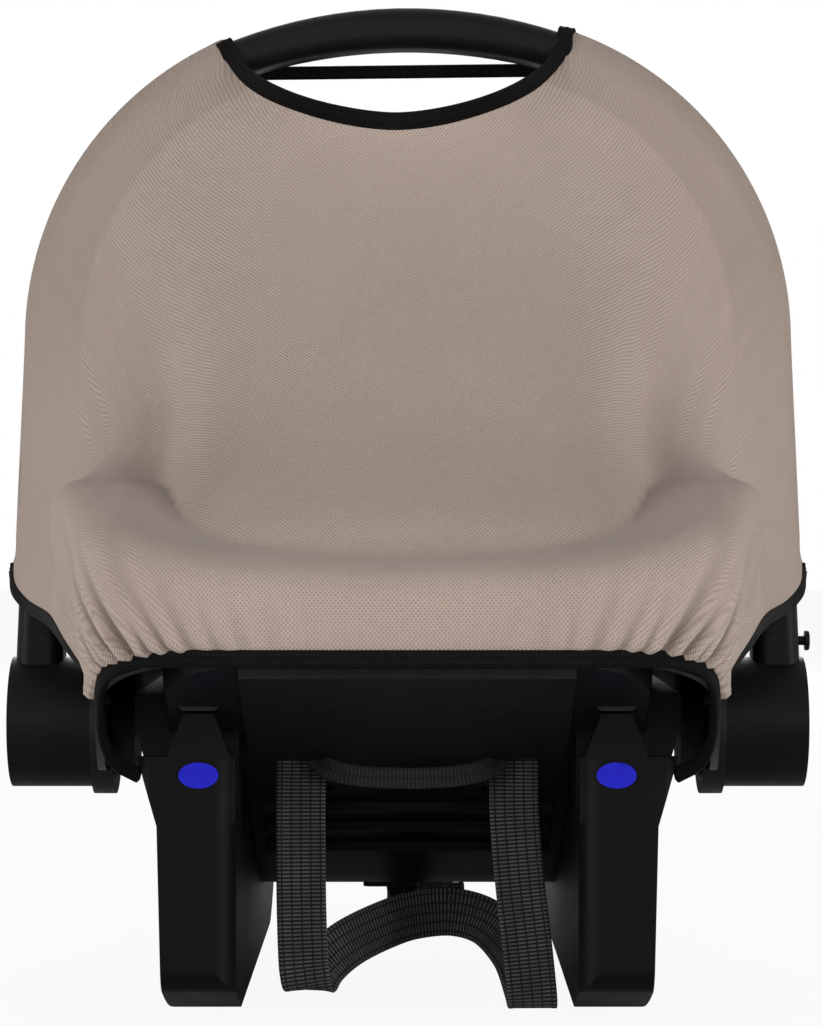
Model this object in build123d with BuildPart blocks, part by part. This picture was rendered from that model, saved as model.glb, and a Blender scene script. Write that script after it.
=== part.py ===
"""Infant car seat: a moulded shell on two runners, a hinged carry handle, a stretch canopy and a harness.

Millimetres. +X is the occupant's right, +Y the way the occupant faces, +Z up.
The origin is on the floor, midway between the sides and between the head end and the foot end.
"""

import math
import os

from build123d import *

os.makedirs("parts", exist_ok=True)

# Fits
GAP = 0.3  # soft pieces and loose neighbours
RUN = 0.05  # radial clearance of a shaft in its bore
SLIDE = 0.3  # clearance round a button or a pin that travels

# Shell
WALL = 4.0
HEAD_END_Y = -322.0
FOOT_END_Y = 326.0
RIM_HALF = 166.0  # half width of the rim beside the hubs
HEAD_HALF = 146.0  # half width of the rim at the head end
FOOT_HALF = 128.0  # half width of the rim at the foot end
RIM_SIDE_Y = 65.0  # the rim is widest between minus and plus this
HEAD_CORNER = 75.0
FOOT_CORNER = 78.0
RIM_BEND = 240.0
HEAD_RIM_Z = 218.0
WING_RIM_Z = 265.0
WING_Y = -110.0
LAP_RIM_Z = 222.0
LAP_Y = 80.0
FOOT_RIM_Z = 196.0
SKIRT_HEAD_Z = 189.0
SKIRT_BACK_Y = -200.0
SKIRT_BACK_Z = 143.0
SKIRT_HUB_Z = 116.0
SKIRT_FOOT_Z = 150.0
FLANGE = 20.0  # rim top between the skirt and the tub
TUB_DRAFT = 8.0
BELLY_Z = 42.0
BELLY_BACK_Y = 60.0
BELLY_FRONT_Y = 115.0
BACK_ANGLE = 22.0
THIGH_ANGLE = 25.0
BACK_BEND = 130.0
THIGH_BEND = 100.0
RIB_HALF = 78.0
RIB_HEIGHT = 5.0
RIB_THICK = 3.0
RIB_YS = (-88.0, -55.0, -20.0)
PANEL_STEP = 5.0  # the upper back stands this much proud of the ribbed part
PANEL_HALF = 80.0

# Soft layers in the tub
FOAM = 10.0
LINER = 8.0
RIM_COVER = 3.0

CUSHION = 14.0
CUSHION_HALF = 82.0
CUSHION_HEAD_Y = -135.0
CUSHION_FOOT_Y = 150.0
PILLOW = 36.0
PILLOW_FOOT_Y = -188.0
SOFT_EDGE = 5.0

# Harness
WEB_WIDTH = 25.0
WEB_THICK = 1.6
SLOT_WIDTH = 31.0
SLOT_DEPTH = 9.0
SLOT_X = 54.0
SLOT_Y = -165.0
LOWER_SLOT_Y = -113.0
CROTCH_Y = 92.0
ADJUSTER_Y = 215.0
ADJUSTER_SLOT_Y = 203.0
HARNESS_LIFT = 15.0  # strap above the insert cushion
PAD_WIDTH = 50.0
PAD_THICK = 11.0
PAD_HEAD_Y = -134.0
PAD_FOOT_Y = -42.0
TETHER_WIDTH = 12.0

# Buckle
BUCKLE_Y = 61.0
BUCKLE_Z = 106.5
BUCKLE_LEAN = 60.0
BUCKLE_WIDTH = 44.0
BUCKLE_LENGTH = 58.0
BUCKLE_THICK = 20.0
RELEASE_WIDTH = 26.0
RELEASE_LENGTH = 20.0
RELEASE_DEPTH = 8.0
TONGUE_X = 10.5
TONGUE_WIDTH = 16.0
TONGUE_THICK = 2.5
TONGUE_INSERT = 22.0
TONGUE_HEAD_X = 15.4
TONGUE_HEAD_WIDTH = 30.0
TONGUE_HEAD_LENGTH = 24.0
TONGUE_HEAD_THICK = 10.0

# Adjuster
ADJUSTER_WIDTH = 46.0
ADJUSTER_LENGTH = 44.0
ADJUSTER_HEIGHT = 24.0
ADJUSTER_TAIL = 18.0
ADJUSTER_WALL = 3.0
PUSH_WIDTH = 26.0
PUSH_LENGTH = 22.0
PUSH_DEPTH = 10.0

# Handle
HUB_Z = 140.0
HUB_RADIUS = 36.0
HUB_INNER_X = 174.5
HANDLE_TOP_Z = 536.0
HANDLE_DEPTH = 32.0
HANDLE_WALL = 3.5
ARCH_X = 31.0  # centre of the corner arcs
ARCH_Z = 352.0
ARCH_OUTER = 178.5
ARCH_INNER = 158.0
ARM_FOOT_OUTER = 218.5
ARM_FOOT_INNER = 191.5
HUB_PROUD = 1.0
HUB_OUTER_X = ARM_FOOT_OUTER + HUB_PROUD
GRIP_HALF = 95.0
GRIP_THICK = 22.5
EDGE_ROUND = 8.0

# Handle lock
SOCKET_RADIUS = 40.0
SOCKET_FACE_X = 174.0
SOCKET_FLOOR_X = 150.0
CUP_RADIUS = 30.0
GEAR_RADIUS = 22.5
GEAR_TEETH = 12
TOOTH_DEPTH = 3.0
TOOTH_WIDTH = 5.0
GEAR_IN_X = 168.0
GEAR_THICK = 14.0
WEB_IN_X = 184.0
WEB_OUT_X = 190.0
AXLE_RADIUS = 6.0
AXLE_HEAD_RADIUS = 9.5
AXLE_HEAD = 4.5
NUT_RADIUS = 10.0
NUT_THICK = 6.0
BUTTON_RADIUS = 15.0
BUTTON_IN_X = 204.0
PUSH_PIN_RADIUS = 3.0
PUSH_PIN_CIRCLE = 14.0
CAP_RADIUS = 30.0
CAP_THICK = 4.0
SPRING_RADIUS = 12.0
SPRING_WIRE = 1.6
PEG_Z = 185.0
PEG_STEM_RADIUS = 2.6
PEG_STEM = 4.0
PEG_HEAD_RADIUS = 5.5
PEG_HEAD = 2.5

# Runners
RUNNER_INNER = 84.0
RUNNER_FOOT = 120.0
RUNNER_KNEE_Z = 103.0
RUNNER_KNEE = 122.5
RUNNER_TOP = 136.0
RUNNER_TOP_Z = 150.0
RUNNER_WALL = 3.5
RUNNER_TAIL_Y = -236.0
RUNNER_NOSE_Y = 262.0
RUNNER_ROUND = 13.0
FLAT_BACK_Y = -105.0
FLAT_FRONT_Y = 125.0
TAIL_RISE = 24.0
NOSE_RISE = 46.0
NOSE_TOP_Z = 136.0
BELT_SLOT_Z = 137.0
BELT_SLOT = 28.0
BELT_FLOOR_Z = 108.0
PRONG_THICK = 8.0
PRONG_TIP_Z = 158.0
PRONG_TIP_HALF = 7.5
PRONG_GAP = 1.5
MARK_WIDTH = 19.5
MARK_HEIGHT = 12.7
MARK_THICK = 0.8
MARK_Z = 128.0
SCREW_RADIUS = 2.0
SCREW_HEAD_RADIUS = 4.0
SCREW_HEAD = 2.5

FAR = 700.0
BACK_TAN = math.tan(math.radians(BACK_ANGLE))
THIGH_TAN = math.tan(math.radians(THIGH_ANGLE))


def back_z(y, lift=0.0):
    """Height of the reclined back at y, lifted straight up."""
    return BELLY_Z + lift + (BELLY_BACK_Y - y) * BACK_TAN


def thigh_z(y, lift=0.0):
    """Height of the thigh slope at y, lifted straight up."""
    return BELLY_Z + lift + (y - BELLY_FRONT_Y) * THIGH_TAN


def rim_plan(inset):
    """Rim outline seen from above, drawn in by an inset."""
    right = [
        (HEAD_HALF, HEAD_END_Y),
        (RIM_HALF, -RIM_SIDE_Y),
        (RIM_HALF, RIM_SIDE_Y),
        (FOOT_HALF, FOOT_END_Y),
    ]
    left = [(-x, y) for x, y in reversed(right)]
    with BuildSketch() as plan:
        with BuildLine():
            Polyline(*right, *left, close=True)
        make_face()
        corners = plan.vertices().sort_by(Axis.Y)
        fillet(corners[0:2], HEAD_CORNER)
        fillet(plan.vertices().filter_by_position(Axis.Y, -RIM_SIDE_Y - 1, RIM_SIDE_Y + 1), RIM_BEND)
        fillet(plan.vertices().sort_by(Axis.Y)[-2:], FOOT_CORNER)
        if inset:
            offset(amount=-inset)
    return plan.sketch


def rim_line(drop=0.0):
    """Points of the rim crest seen from the side."""
    return [
        (HEAD_END_Y - 12, HEAD_RIM_Z - 1 - drop),
        (HEAD_END_Y + 40, HEAD_RIM_Z + 14 - drop),
        (WING_Y, WING_RIM_Z - drop),
        (LAP_Y, LAP_RIM_Z - drop),
        (FOOT_END_Y + 12, FOOT_RIM_Z - drop),
    ]


def skirt_line():
    """Points of the skirt's lower edge seen from the side."""
    return [
        (HEAD_END_Y - 12, SKIRT_HEAD_Z + 1),
        (HEAD_END_Y + 30, SKIRT_HEAD_Z - 10),
        (SKIRT_BACK_Y, SKIRT_BACK_Z),
        (0, SKIRT_HUB_Z),
        (FOOT_END_Y + 12, SKIRT_FOOT_Z),
    ]


def under_rim(drop, lower):
    """Prism across the seat between the rim crest and a lower line, or the floor when that is None."""
    with BuildPart() as region:
        with BuildSketch(Plane.YZ):
            with BuildLine():
                crest = Spline(*rim_line(drop))
                if lower is None:
                    Polyline(crest @ 1, (FOOT_END_Y + 12, -5), (HEAD_END_Y - 12, -5), crest @ 0)
                else:
                    low = Spline(*lower)
                    Line(crest @ 1, low @ 1)
                    Line(crest @ 0, low @ 0)
            make_face()
        extrude(amount=FAR, both=True)
    return region.part


def over_floor(lift, top=FAR):
    """Prism across the seat above the reclined floor, lifted straight up."""
    head = HEAD_END_Y - 30
    foot = FOOT_END_Y + 30
    with BuildPart() as region:
        with BuildSketch(Plane.YZ) as profile:
            with BuildLine():
                Polyline(
                    (head, back_z(head, lift)),
                    (BELLY_BACK_Y, BELLY_Z + lift),
                    (BELLY_FRONT_Y, BELLY_Z + lift),
                    (foot, thigh_z(foot, lift)),
                    (foot, top),
                    (head, top),
                    close=True,
                )
            make_face()
            low = profile.vertices().sort_by(Axis.Y)[0:2].sort_by(Axis.X)
            fillet(low[0], BACK_BEND)
            bend = profile.vertices().filter_by_position(Axis.X, BELLY_FRONT_Y - 1, BELLY_FRONT_Y + 1)
            fillet(bend, THIGH_BEND)
        extrude(amount=FAR, both=True)
    return region.part


def tub_block(inset, draft=TUB_DRAFT):
    """Tapered block of the tub, widest at the rim."""
    with BuildPart() as block:
        with BuildSketch(Plane.XY.offset(WING_RIM_Z + 5)):
            add(rim_plan(inset))
        extrude(amount=-(WING_RIM_Z + 5), taper=draft)
    return block.part


def straight_block(inset):
    """Straight block inside the rim outline."""
    with BuildPart() as block:
        with BuildSketch(Plane.XY):
            add(rim_plan(inset))
        extrude(amount=WING_RIM_Z + 20)
    return block.part


def slope_plane(x, y, lift=0.0):
    """Plane lying on the reclined back or the thigh slope, lifted straight up, normal upward."""
    if y < BELLY_BACK_Y:
        lean = math.radians(BACK_ANGLE)
        z = back_z(y, lift)
    elif y > BELLY_FRONT_Y:
        lean = -math.radians(THIGH_ANGLE)
        z = thigh_z(y, lift)
    else:
        lean = 0.0
        z = BELLY_Z + lift
    return Plane(origin=(x, y, z), x_dir=(1, 0, 0), z_dir=(0, math.sin(lean), math.cos(lean)))


def side_plane(side, x, y=0.0, z=0.0):
    """Plane facing outward at one side, its local x toward the foot end."""
    return Plane(origin=(side * x, y, z), x_dir=(0, 1, 0), z_dir=(side, 0, 0))


def strap_slots(extra):
    """Cutters for the webbing slots, wider by an extra all round in the soft layers."""
    with BuildPart() as cutters:
        for x, y in (
            (SLOT_X, SLOT_Y),
            (-SLOT_X, SLOT_Y),
            (SLOT_X, LOWER_SLOT_Y),
            (-SLOT_X, LOWER_SLOT_Y),
            (0, CROTCH_Y),
        ):
            with BuildSketch(slope_plane(x, y)):
                RectangleRounded(SLOT_WIDTH + extra, SLOT_DEPTH + extra, (SLOT_DEPTH + extra) / 2 - 0.2)
            extrude(amount=70, both=True)
    return cutters.part


def vec_cross(a, b):
    """Cross product of two triples."""
    return (a[1] * b[2] - a[2] * b[1], a[2] * b[0] - a[0] * b[2], a[0] * b[1] - a[1] * b[0])


def vec_unit(a):
    """Triple scaled to length one."""
    size = math.sqrt(a[0] ** 2 + a[1] ** 2 + a[2] ** 2)
    return (a[0] / size, a[1] / size, a[2] / size)


def ribbon(stations, width, thick):
    """Flat strap through stations, each a centre and the way its face looks."""
    planes = []
    last = len(stations) - 1
    for index in range(last + 1):
        before = stations[max(index - 1, 0)][0]
        after = stations[min(index + 1, last)][0]
        along = vec_unit(tuple(after[k] - before[k] for k in range(3)))
        across = vec_unit(vec_cross(along, stations[index][1]))
        planes.append(Plane(origin=stations[index][0], x_dir=across, z_dir=along))
    with BuildPart() as strap:
        for start, end in zip(planes, planes[1:]):
            with BuildSketch(start, end):
                Rectangle(width, thick)
            loft(ruled=True)
    return strap.part


SHELL_TOP = under_rim(0.0, None)
TUB = tub_block(FLANGE)
TUB_HOLE = tub_block(FLANGE + WALL)
RIM_FLOOR = over_floor(0.0)
LAP_NOTCH_Y = 145.0
LAP_NOTCH = 54.0
LAP_NOTCH_Z = 199.0
RUNNER_MID = (RUNNER_INNER + RUNNER_FOOT) / 2
SCREW_X = RUNNER_INNER + 8.0
SCREW_SPOTS = ((SCREW_X, -60.0), (-SCREW_X, -60.0), (SCREW_X, 160.0), (-SCREW_X, 160.0))


def lap_notches(extra):
    """Cutters for the lap belt guides in both sides of the rim."""
    with BuildPart() as cutters:
        with Locations((0, LAP_NOTCH_Y, LAP_NOTCH_Z)):
            Box(FAR, LAP_NOTCH + extra, 60, align=(Align.CENTER, Align.CENTER, Align.MIN))
        with Locations((0, LAP_NOTCH_Y, LAP_NOTCH_Z)):
            Box(200, LAP_NOTCH + 20, 140, mode=Mode.SUBTRACT)
    return cutters.part


skirt = straight_block(0.0) & under_rim(0.0, skirt_line())
skirt_hole = straight_block(WALL) & under_rim(WALL, None)
tub_outside = TUB & RIM_FLOOR & SHELL_TOP
tub_inside = TUB_HOLE & over_floor(WALL)
shell_slots = strap_slots(0.0)
rim_notches = lap_notches(0.0)

with BuildPart() as seat_shell:
    add(skirt)
    add(skirt_hole, mode=Mode.SUBTRACT)
    add(tub_outside)
    for side in (-1, 1):
        with BuildSketch(side_plane(side, RIM_HALF - WALL, 0, HUB_Z)):
            Circle(SOCKET_RADIUS)
        extrude(amount=SOCKET_FACE_X - RIM_HALF + WALL)
        with BuildSketch(side_plane(side, SOCKET_FLOOR_X, 0, HUB_Z)):
            Circle(CUP_RADIUS)
        extrude(amount=SOCKET_FACE_X - SOCKET_FLOOR_X)
        with BuildSketch(side_plane(side, SOCKET_FLOOR_X + WALL, 0, HUB_Z)):
            Circle(GEAR_RADIUS + SLIDE)
        extrude(amount=FAR, mode=Mode.SUBTRACT)
        with BuildSketch(side_plane(side, SOCKET_FLOOR_X, 0, HUB_Z)):
            Circle(AXLE_RADIUS + RUN)
        extrude(amount=WALL + 1, mode=Mode.SUBTRACT)
    with BuildSketch(Plane.YZ):
        with BuildLine():
            Polyline(
                (HEAD_END_Y + 34, back_z(HEAD_END_Y + 34, 1)),
                (SLOT_Y - SLOT_DEPTH, back_z(SLOT_Y - SLOT_DEPTH, 1)),
                (SLOT_Y - SLOT_DEPTH, back_z(SLOT_Y - SLOT_DEPTH, -PANEL_STEP)),
                (HEAD_END_Y + 34, back_z(HEAD_END_Y + 34, -PANEL_STEP)),
                close=True,
            )
        make_face()
    extrude(amount=PANEL_HALF, both=True)
    for rib_y in RIB_YS:
        with BuildSketch(slope_plane(0, rib_y)):
            RectangleRounded(2 * RIB_HALF, RIB_THICK, RIB_THICK / 2 - 0.1)
        extrude(amount=-RIB_HEIGHT)
    for side in (-1, 1):
        with BuildSketch(Plane.XZ.offset(-RUNNER_TAIL_Y - PRONG_THICK)):
            with BuildLine():
                top = back_z(RUNNER_TAIL_Y, 4)
                tip = PRONG_TIP_Z + PRONG_GAP
                Polyline(
                    (side * (RUNNER_MID - 2 * PRONG_TIP_HALF), top),
                    (side * (RUNNER_MID + 2 * PRONG_TIP_HALF), top),
                    (side * (RUNNER_MID + PRONG_TIP_HALF), tip),
                    (side * (RUNNER_MID - PRONG_TIP_HALF), tip),
                    close=True,
                )
            make_face()
        extrude(amount=PRONG_THICK)
    add(tub_inside, mode=Mode.SUBTRACT)
    add(shell_slots, mode=Mode.SUBTRACT)
    add(rim_notches, mode=Mode.SUBTRACT)
    with BuildSketch(slope_plane(0, ADJUSTER_SLOT_Y)):
        RectangleRounded(SLOT_WIDTH, SLOT_DEPTH, SLOT_DEPTH / 2 - 0.2)
    extrude(amount=12, both=True, mode=Mode.SUBTRACT)
    for x, y in SCREW_SPOTS:
        with BuildSketch(slope_plane(x, y)):
            Circle(SCREW_RADIUS + GAP)
        extrude(amount=8, both=True, mode=Mode.SUBTRACT)
seat_shell.part.label = "seat_shell"
export_step(seat_shell.part, "parts/seat_shell.step")

runner_cut = tub_block(FLANGE - GAP) & over_floor(-GAP)


def runner_section(inset):
    """Runner seen from the head end, right side."""
    with BuildSketch() as section:
        with BuildLine():
            Polyline(
                (RUNNER_INNER, 0),
                (RUNNER_FOOT, 0),
                (RUNNER_KNEE, RUNNER_KNEE_Z),
                (RUNNER_TOP, RUNNER_TOP_Z),
                (RUNNER_TOP, RUNNER_TOP_Z + 16),
                (RUNNER_INNER, RUNNER_TOP_Z + 16),
                close=True,
            )
        make_face()
        fillet(section.vertices().sort_by(Axis.Y)[0:2], RUNNER_ROUND * 0.6)
        if inset:
            offset(amount=-inset)
    return section.sketch


def runner_side(inset):
    """Runner seen from its side: flat in the middle, rising at the tail and the nose."""
    with BuildSketch() as profile:
        with BuildLine():
            flat = Line((FLAT_BACK_Y, 0), (FLAT_FRONT_Y, 0))
            tail = TangentArc(flat @ 0, (RUNNER_TAIL_Y, TAIL_RISE), tangent=(-1, 0))
            nose = TangentArc(flat @ 1, (RUNNER_NOSE_Y, NOSE_RISE), tangent=(1, 0))
            top = RUNNER_TOP_Z + 16
            Polyline(tail @ 1, (RUNNER_TAIL_Y, top), (RIM_SIDE_Y, top), (RUNNER_NOSE_Y, NOSE_TOP_Z), nose @ 1)
        make_face()
        fillet(profile.vertices().filter_by_position(Axis.Y, TAIL_RISE - 1, NOSE_RISE + 1), RUNNER_ROUND)
        if inset:
            offset(amount=-inset)
    return profile.sketch


def runner_plan():
    """Runner seen from above, with rounded ends."""
    with BuildSketch() as plan:
        middle = (RUNNER_TAIL_Y + RUNNER_NOSE_Y) / 2
        wide = RUNNER_TOP - RUNNER_INNER + 0.6
        with Locations(((RUNNER_INNER + RUNNER_TOP) / 2, middle)):
            Rectangle(wide, RUNNER_NOSE_Y - RUNNER_TAIL_Y + 0.6)
        fillet(plan.vertices(), RUNNER_ROUND)
    return plan.sketch


BULKHEAD = 4.0


def runner_hollow():
    """Spaces inside the runner, between the bulkheads that carry the screw bosses."""
    with BuildPart() as hollow:
        with BuildSketch(Plane.XZ):
            add(runner_section(RUNNER_WALL))
        extrude(amount=FAR, both=True)
        with BuildSketch(Plane.YZ):
            add(runner_side(RUNNER_WALL))
        extrude(amount=FAR, both=True, mode=Mode.INTERSECT)
        for x, y in SCREW_SPOTS[0::2]:
            with Locations((x, y, RUNNER_TOP_Z / 2)):
                Box(FAR, BULKHEAD, FAR, mode=Mode.SUBTRACT)
    return hollow.part


def runner_block():
    """Solid end of the runner round the belt slot, before the slot is cut."""
    with BuildPart() as block:
        with BuildSketch(Plane.XZ):
            add(runner_section(0.2))
        extrude(amount=FAR, both=True)
        with Locations((RUNNER_MID, RUNNER_TAIL_Y + RUNNER_WALL, BELT_FLOOR_Z - RUNNER_WALL)):
            Box(
                FAR,
                PRONG_THICK + BELT_SLOT,
                FAR,
                align=(Align.CENTER, Align.MIN, Align.MIN),
                mode=Mode.INTERSECT,
            )
    return block.part


inside_runner = runner_hollow()
belt_box = runner_block()
SLOT_FRONT_Y = RUNNER_TAIL_Y + PRONG_THICK + BELT_SLOT
BOSS_RADIUS = 6.0
BOSS_LENGTH = 26.0

with BuildPart() as right_runner:
    with BuildSketch(Plane.XZ):
        add(runner_section(0))
    extrude(amount=FAR, both=True)
    with BuildSketch(Plane.YZ):
        add(runner_side(0))
    extrude(amount=FAR, both=True, mode=Mode.INTERSECT)
    with BuildSketch(Plane.XY):
        add(runner_plan())
    extrude(amount=FAR, both=True, mode=Mode.INTERSECT)
    add(inside_runner, mode=Mode.SUBTRACT)
    add(belt_box)
    with Locations((RUNNER_MID, RUNNER_TAIL_Y - 10, BELT_SLOT_Z)):
        Box(
            100,
            SLOT_FRONT_Y - RUNNER_TAIL_Y + 10,
            100,
            align=(Align.CENTER, Align.MIN, Align.MIN),
            mode=Mode.SUBTRACT,
        )
    with Locations((RUNNER_MID, RUNNER_TAIL_Y + PRONG_THICK, BELT_FLOOR_Z)):
        Box(100, BELT_SLOT, 100, align=(Align.CENTER, Align.MIN, Align.MIN), mode=Mode.SUBTRACT)
    with BuildSketch(Plane.XZ.offset(-RUNNER_TAIL_Y - PRONG_THICK)):
        with BuildLine():
            Polyline(
                (RUNNER_MID - 2.1 * PRONG_TIP_HALF, BELT_SLOT_Z - 1),
                (RUNNER_MID + 2.1 * PRONG_TIP_HALF, BELT_SLOT_Z - 1),
                (RUNNER_MID + PRONG_TIP_HALF, PRONG_TIP_Z),
                (RUNNER_MID - PRONG_TIP_HALF, PRONG_TIP_Z),
                close=True,
            )
        make_face()
    extrude(amount=PRONG_THICK)
    for x, y in SCREW_SPOTS[0::2]:
        with BuildSketch(slope_plane(x, y).offset(-GAP)):
            Circle(BOSS_RADIUS)
        extrude(amount=-BOSS_LENGTH)
    add(runner_cut, mode=Mode.SUBTRACT)
    for x, y in SCREW_SPOTS[0::2]:
        with BuildSketch(slope_plane(x, y).offset(1)):
            Circle(SCREW_RADIUS + RUN)
        extrude(amount=-BOSS_LENGTH + 4, mode=Mode.SUBTRACT)
right_runner.part.label = "right_runner"
export_step(right_runner.part, "parts/right_runner.step")

with BuildPart() as left_runner:
    mirror(right_runner.part, about=Plane.YZ)
left_runner.part.label = "left_runner"
export_step(left_runner.part, "parts/left_runner.step")

with BuildPart() as runner_screws:
    for x, y in SCREW_SPOTS:
        with BuildSketch(slope_plane(x, y).offset(WALL)):
            Circle(SCREW_HEAD_RADIUS)
        extrude(amount=SCREW_HEAD)
        with BuildSketch(slope_plane(x, y).offset(WALL)):
            Circle(SCREW_RADIUS)
        extrude(amount=-BOSS_LENGTH + 4)
        with BuildSketch(slope_plane(x, y).offset(WALL + SCREW_HEAD)):
            Rectangle(SCREW_RADIUS * 2.2, 1)
            Rectangle(1, SCREW_RADIUS * 2.2)
        extrude(amount=-1.2, mode=Mode.SUBTRACT)
runner_screws.part.label = "runner_screws"
export_step(runner_screws.part, "parts/runner_screws.step")

with BuildPart() as rear_belt_marks:
    for side in (-1, 1):
        with BuildSketch(Plane.XZ.offset(-RUNNER_TAIL_Y + 0.02)):
            with Locations((side * RUNNER_MID, MARK_Z)):
                Ellipse(MARK_WIDTH / 2, MARK_HEIGHT / 2)
        extrude(amount=MARK_THICK)
rear_belt_marks.part.label = "rear_belt_marks"
export_step(rear_belt_marks.part, "parts/rear_belt_marks.step")

RIM_RUN = math.hypot(RIM_HALF - FOOT_HALF, FOOT_END_Y - RIM_SIDE_Y)
RIM_OUT_X = (FOOT_END_Y - RIM_SIDE_Y) / RIM_RUN
RIM_OUT_Y = (RIM_HALF - FOOT_HALF) / RIM_RUN
LAP_X = RIM_HALF - (RIM_HALF - FOOT_HALF) * (LAP_NOTCH_Y - RIM_SIDE_Y) / (FOOT_END_Y - RIM_SIDE_Y)
LAP_MARK_Z = LAP_NOTCH_Z - 11.0

with BuildPart() as lap_belt_marks:
    for side in (-1, 1):
        out = (side * RIM_OUT_X, RIM_OUT_Y, 0)
        along = (-side * RIM_OUT_Y, RIM_OUT_X, 0)
        spot = (side * (LAP_X + 0.02 * RIM_OUT_X), LAP_NOTCH_Y + 0.02 * RIM_OUT_Y, LAP_MARK_Z)
        with BuildSketch(Plane(origin=spot, x_dir=along, z_dir=out)):
            SlotOverall(LAP_NOTCH * 0.7, MARK_HEIGHT * 0.7)
        extrude(amount=MARK_THICK)
lap_belt_marks.part.label = "lap_belt_marks"
export_step(lap_belt_marks.part, "parts/lap_belt_marks.step")

FOAM_LIFT = WALL + GAP
LINER_LIFT = FOAM_LIFT + FOAM + GAP
SEAT_LIFT = LINER_LIFT + LINER + GAP
foam_slots = strap_slots(3.0)
liner_slots = strap_slots(5.0)
foam_body = (tub_block(FLANGE + WALL + 2 * GAP) & over_floor(FOAM_LIFT)) - over_floor(FOAM_LIFT + FOAM)

with BuildPart() as foam_base:
    add(foam_body)
    add(foam_slots, mode=Mode.SUBTRACT)
    with BuildSketch(slope_plane(0, ADJUSTER_Y)):
        with Locations((0, ADJUSTER_TAIL / 2)):
            Rectangle(ADJUSTER_WIDTH + 4, ADJUSTER_LENGTH + ADJUSTER_TAIL + 4)
    extrude(amount=60, both=True, mode=Mode.SUBTRACT)
    for x, y in SCREW_SPOTS:
        with BuildSketch(slope_plane(x, y)):
            Circle(SCREW_HEAD_RADIUS + 1)
        extrude(amount=WALL + SCREW_HEAD + 1, mode=Mode.SUBTRACT)
foam_base.part.label = "foam_base"
export_step(foam_base.part, "parts/foam_base.step")

liner_outside = tub_block(FLANGE + WALL + 2 * GAP) & over_floor(LINER_LIFT) & under_rim(-GAP - 0.5, None)
rim_cover = straight_block(1.5) & (under_rim(-GAP - RIM_COVER, None) - under_rim(-GAP, None))
liner_inside = tub_block(FLANGE + WALL + 2 * GAP + LINER) & over_floor(LINER_LIFT + LINER)
liner_notches = lap_notches(2.0)

with BuildPart() as seat_liner:
    add(liner_outside)
    add(rim_cover)
    add(liner_inside, mode=Mode.SUBTRACT)
    add(liner_slots, mode=Mode.SUBTRACT)
    add(liner_notches, mode=Mode.SUBTRACT)
    with BuildSketch(slope_plane(0, ADJUSTER_Y)):
        with Locations((0, ADJUSTER_TAIL / 2)):
            Rectangle(ADJUSTER_WIDTH + 2, ADJUSTER_LENGTH + ADJUSTER_TAIL + 2)
    extrude(amount=60, both=True, mode=Mode.SUBTRACT)
seat_liner.part.label = "seat_liner"
export_step(seat_liner.part, "parts/seat_liner.step")

cushion_layer = over_floor(SEAT_LIFT) - over_floor(SEAT_LIFT + CUSHION)

with BuildPart() as body_cushion:
    with BuildSketch(Plane.XY) as cushion_plan:
        with Locations((0, (CUSHION_HEAD_Y + CUSHION_FOOT_Y) / 2)):
            Rectangle(2 * CUSHION_HALF, CUSHION_FOOT_Y - CUSHION_HEAD_Y)
        fillet(cushion_plan.vertices(), 32)
        with Locations((0, CROTCH_Y)):
            Rectangle(SLOT_WIDTH + 5, SLOT_DEPTH + 5, mode=Mode.SUBTRACT)
    extrude(amount=FAR)
    add(cushion_layer, mode=Mode.INTERSECT)
body_cushion.part.label = "body_cushion"
export_step(body_cushion.part, "parts/body_cushion.step")

pillow_layer = over_floor(SEAT_LIFT) - over_floor(SEAT_LIFT + PILLOW)
pillow_room = tub_block(FLANGE + WALL + 2 * GAP + LINER + 1)

with BuildPart() as head_pillow:
    with BuildSketch(Plane.XY) as pillow_plan:
        with Locations((0, PILLOW_FOOT_Y)):
            Rectangle(210, 88, align=(Align.CENTER, Align.MAX))
        fillet(pillow_plan.vertices().sort_by(Axis.Y)[0:2], 46)
        fillet(pillow_plan.vertices().sort_by(Axis.Y)[-2:], 16)
        with Locations((0, PILLOW_FOOT_Y + 1)):
            Rectangle(104, 56, align=(Align.CENTER, Align.MAX), mode=Mode.SUBTRACT)
        fillet(pillow_plan.vertices().filter_by_position(Axis.X, -53, 53).sort_by(Axis.Y)[0:2], 44)
    extrude(amount=FAR)
    add(pillow_layer, mode=Mode.INTERSECT)
    add(pillow_room, mode=Mode.INTERSECT)
head_pillow.part.label = "head_pillow"
export_step(head_pillow.part, "parts/head_pillow.step")


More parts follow.
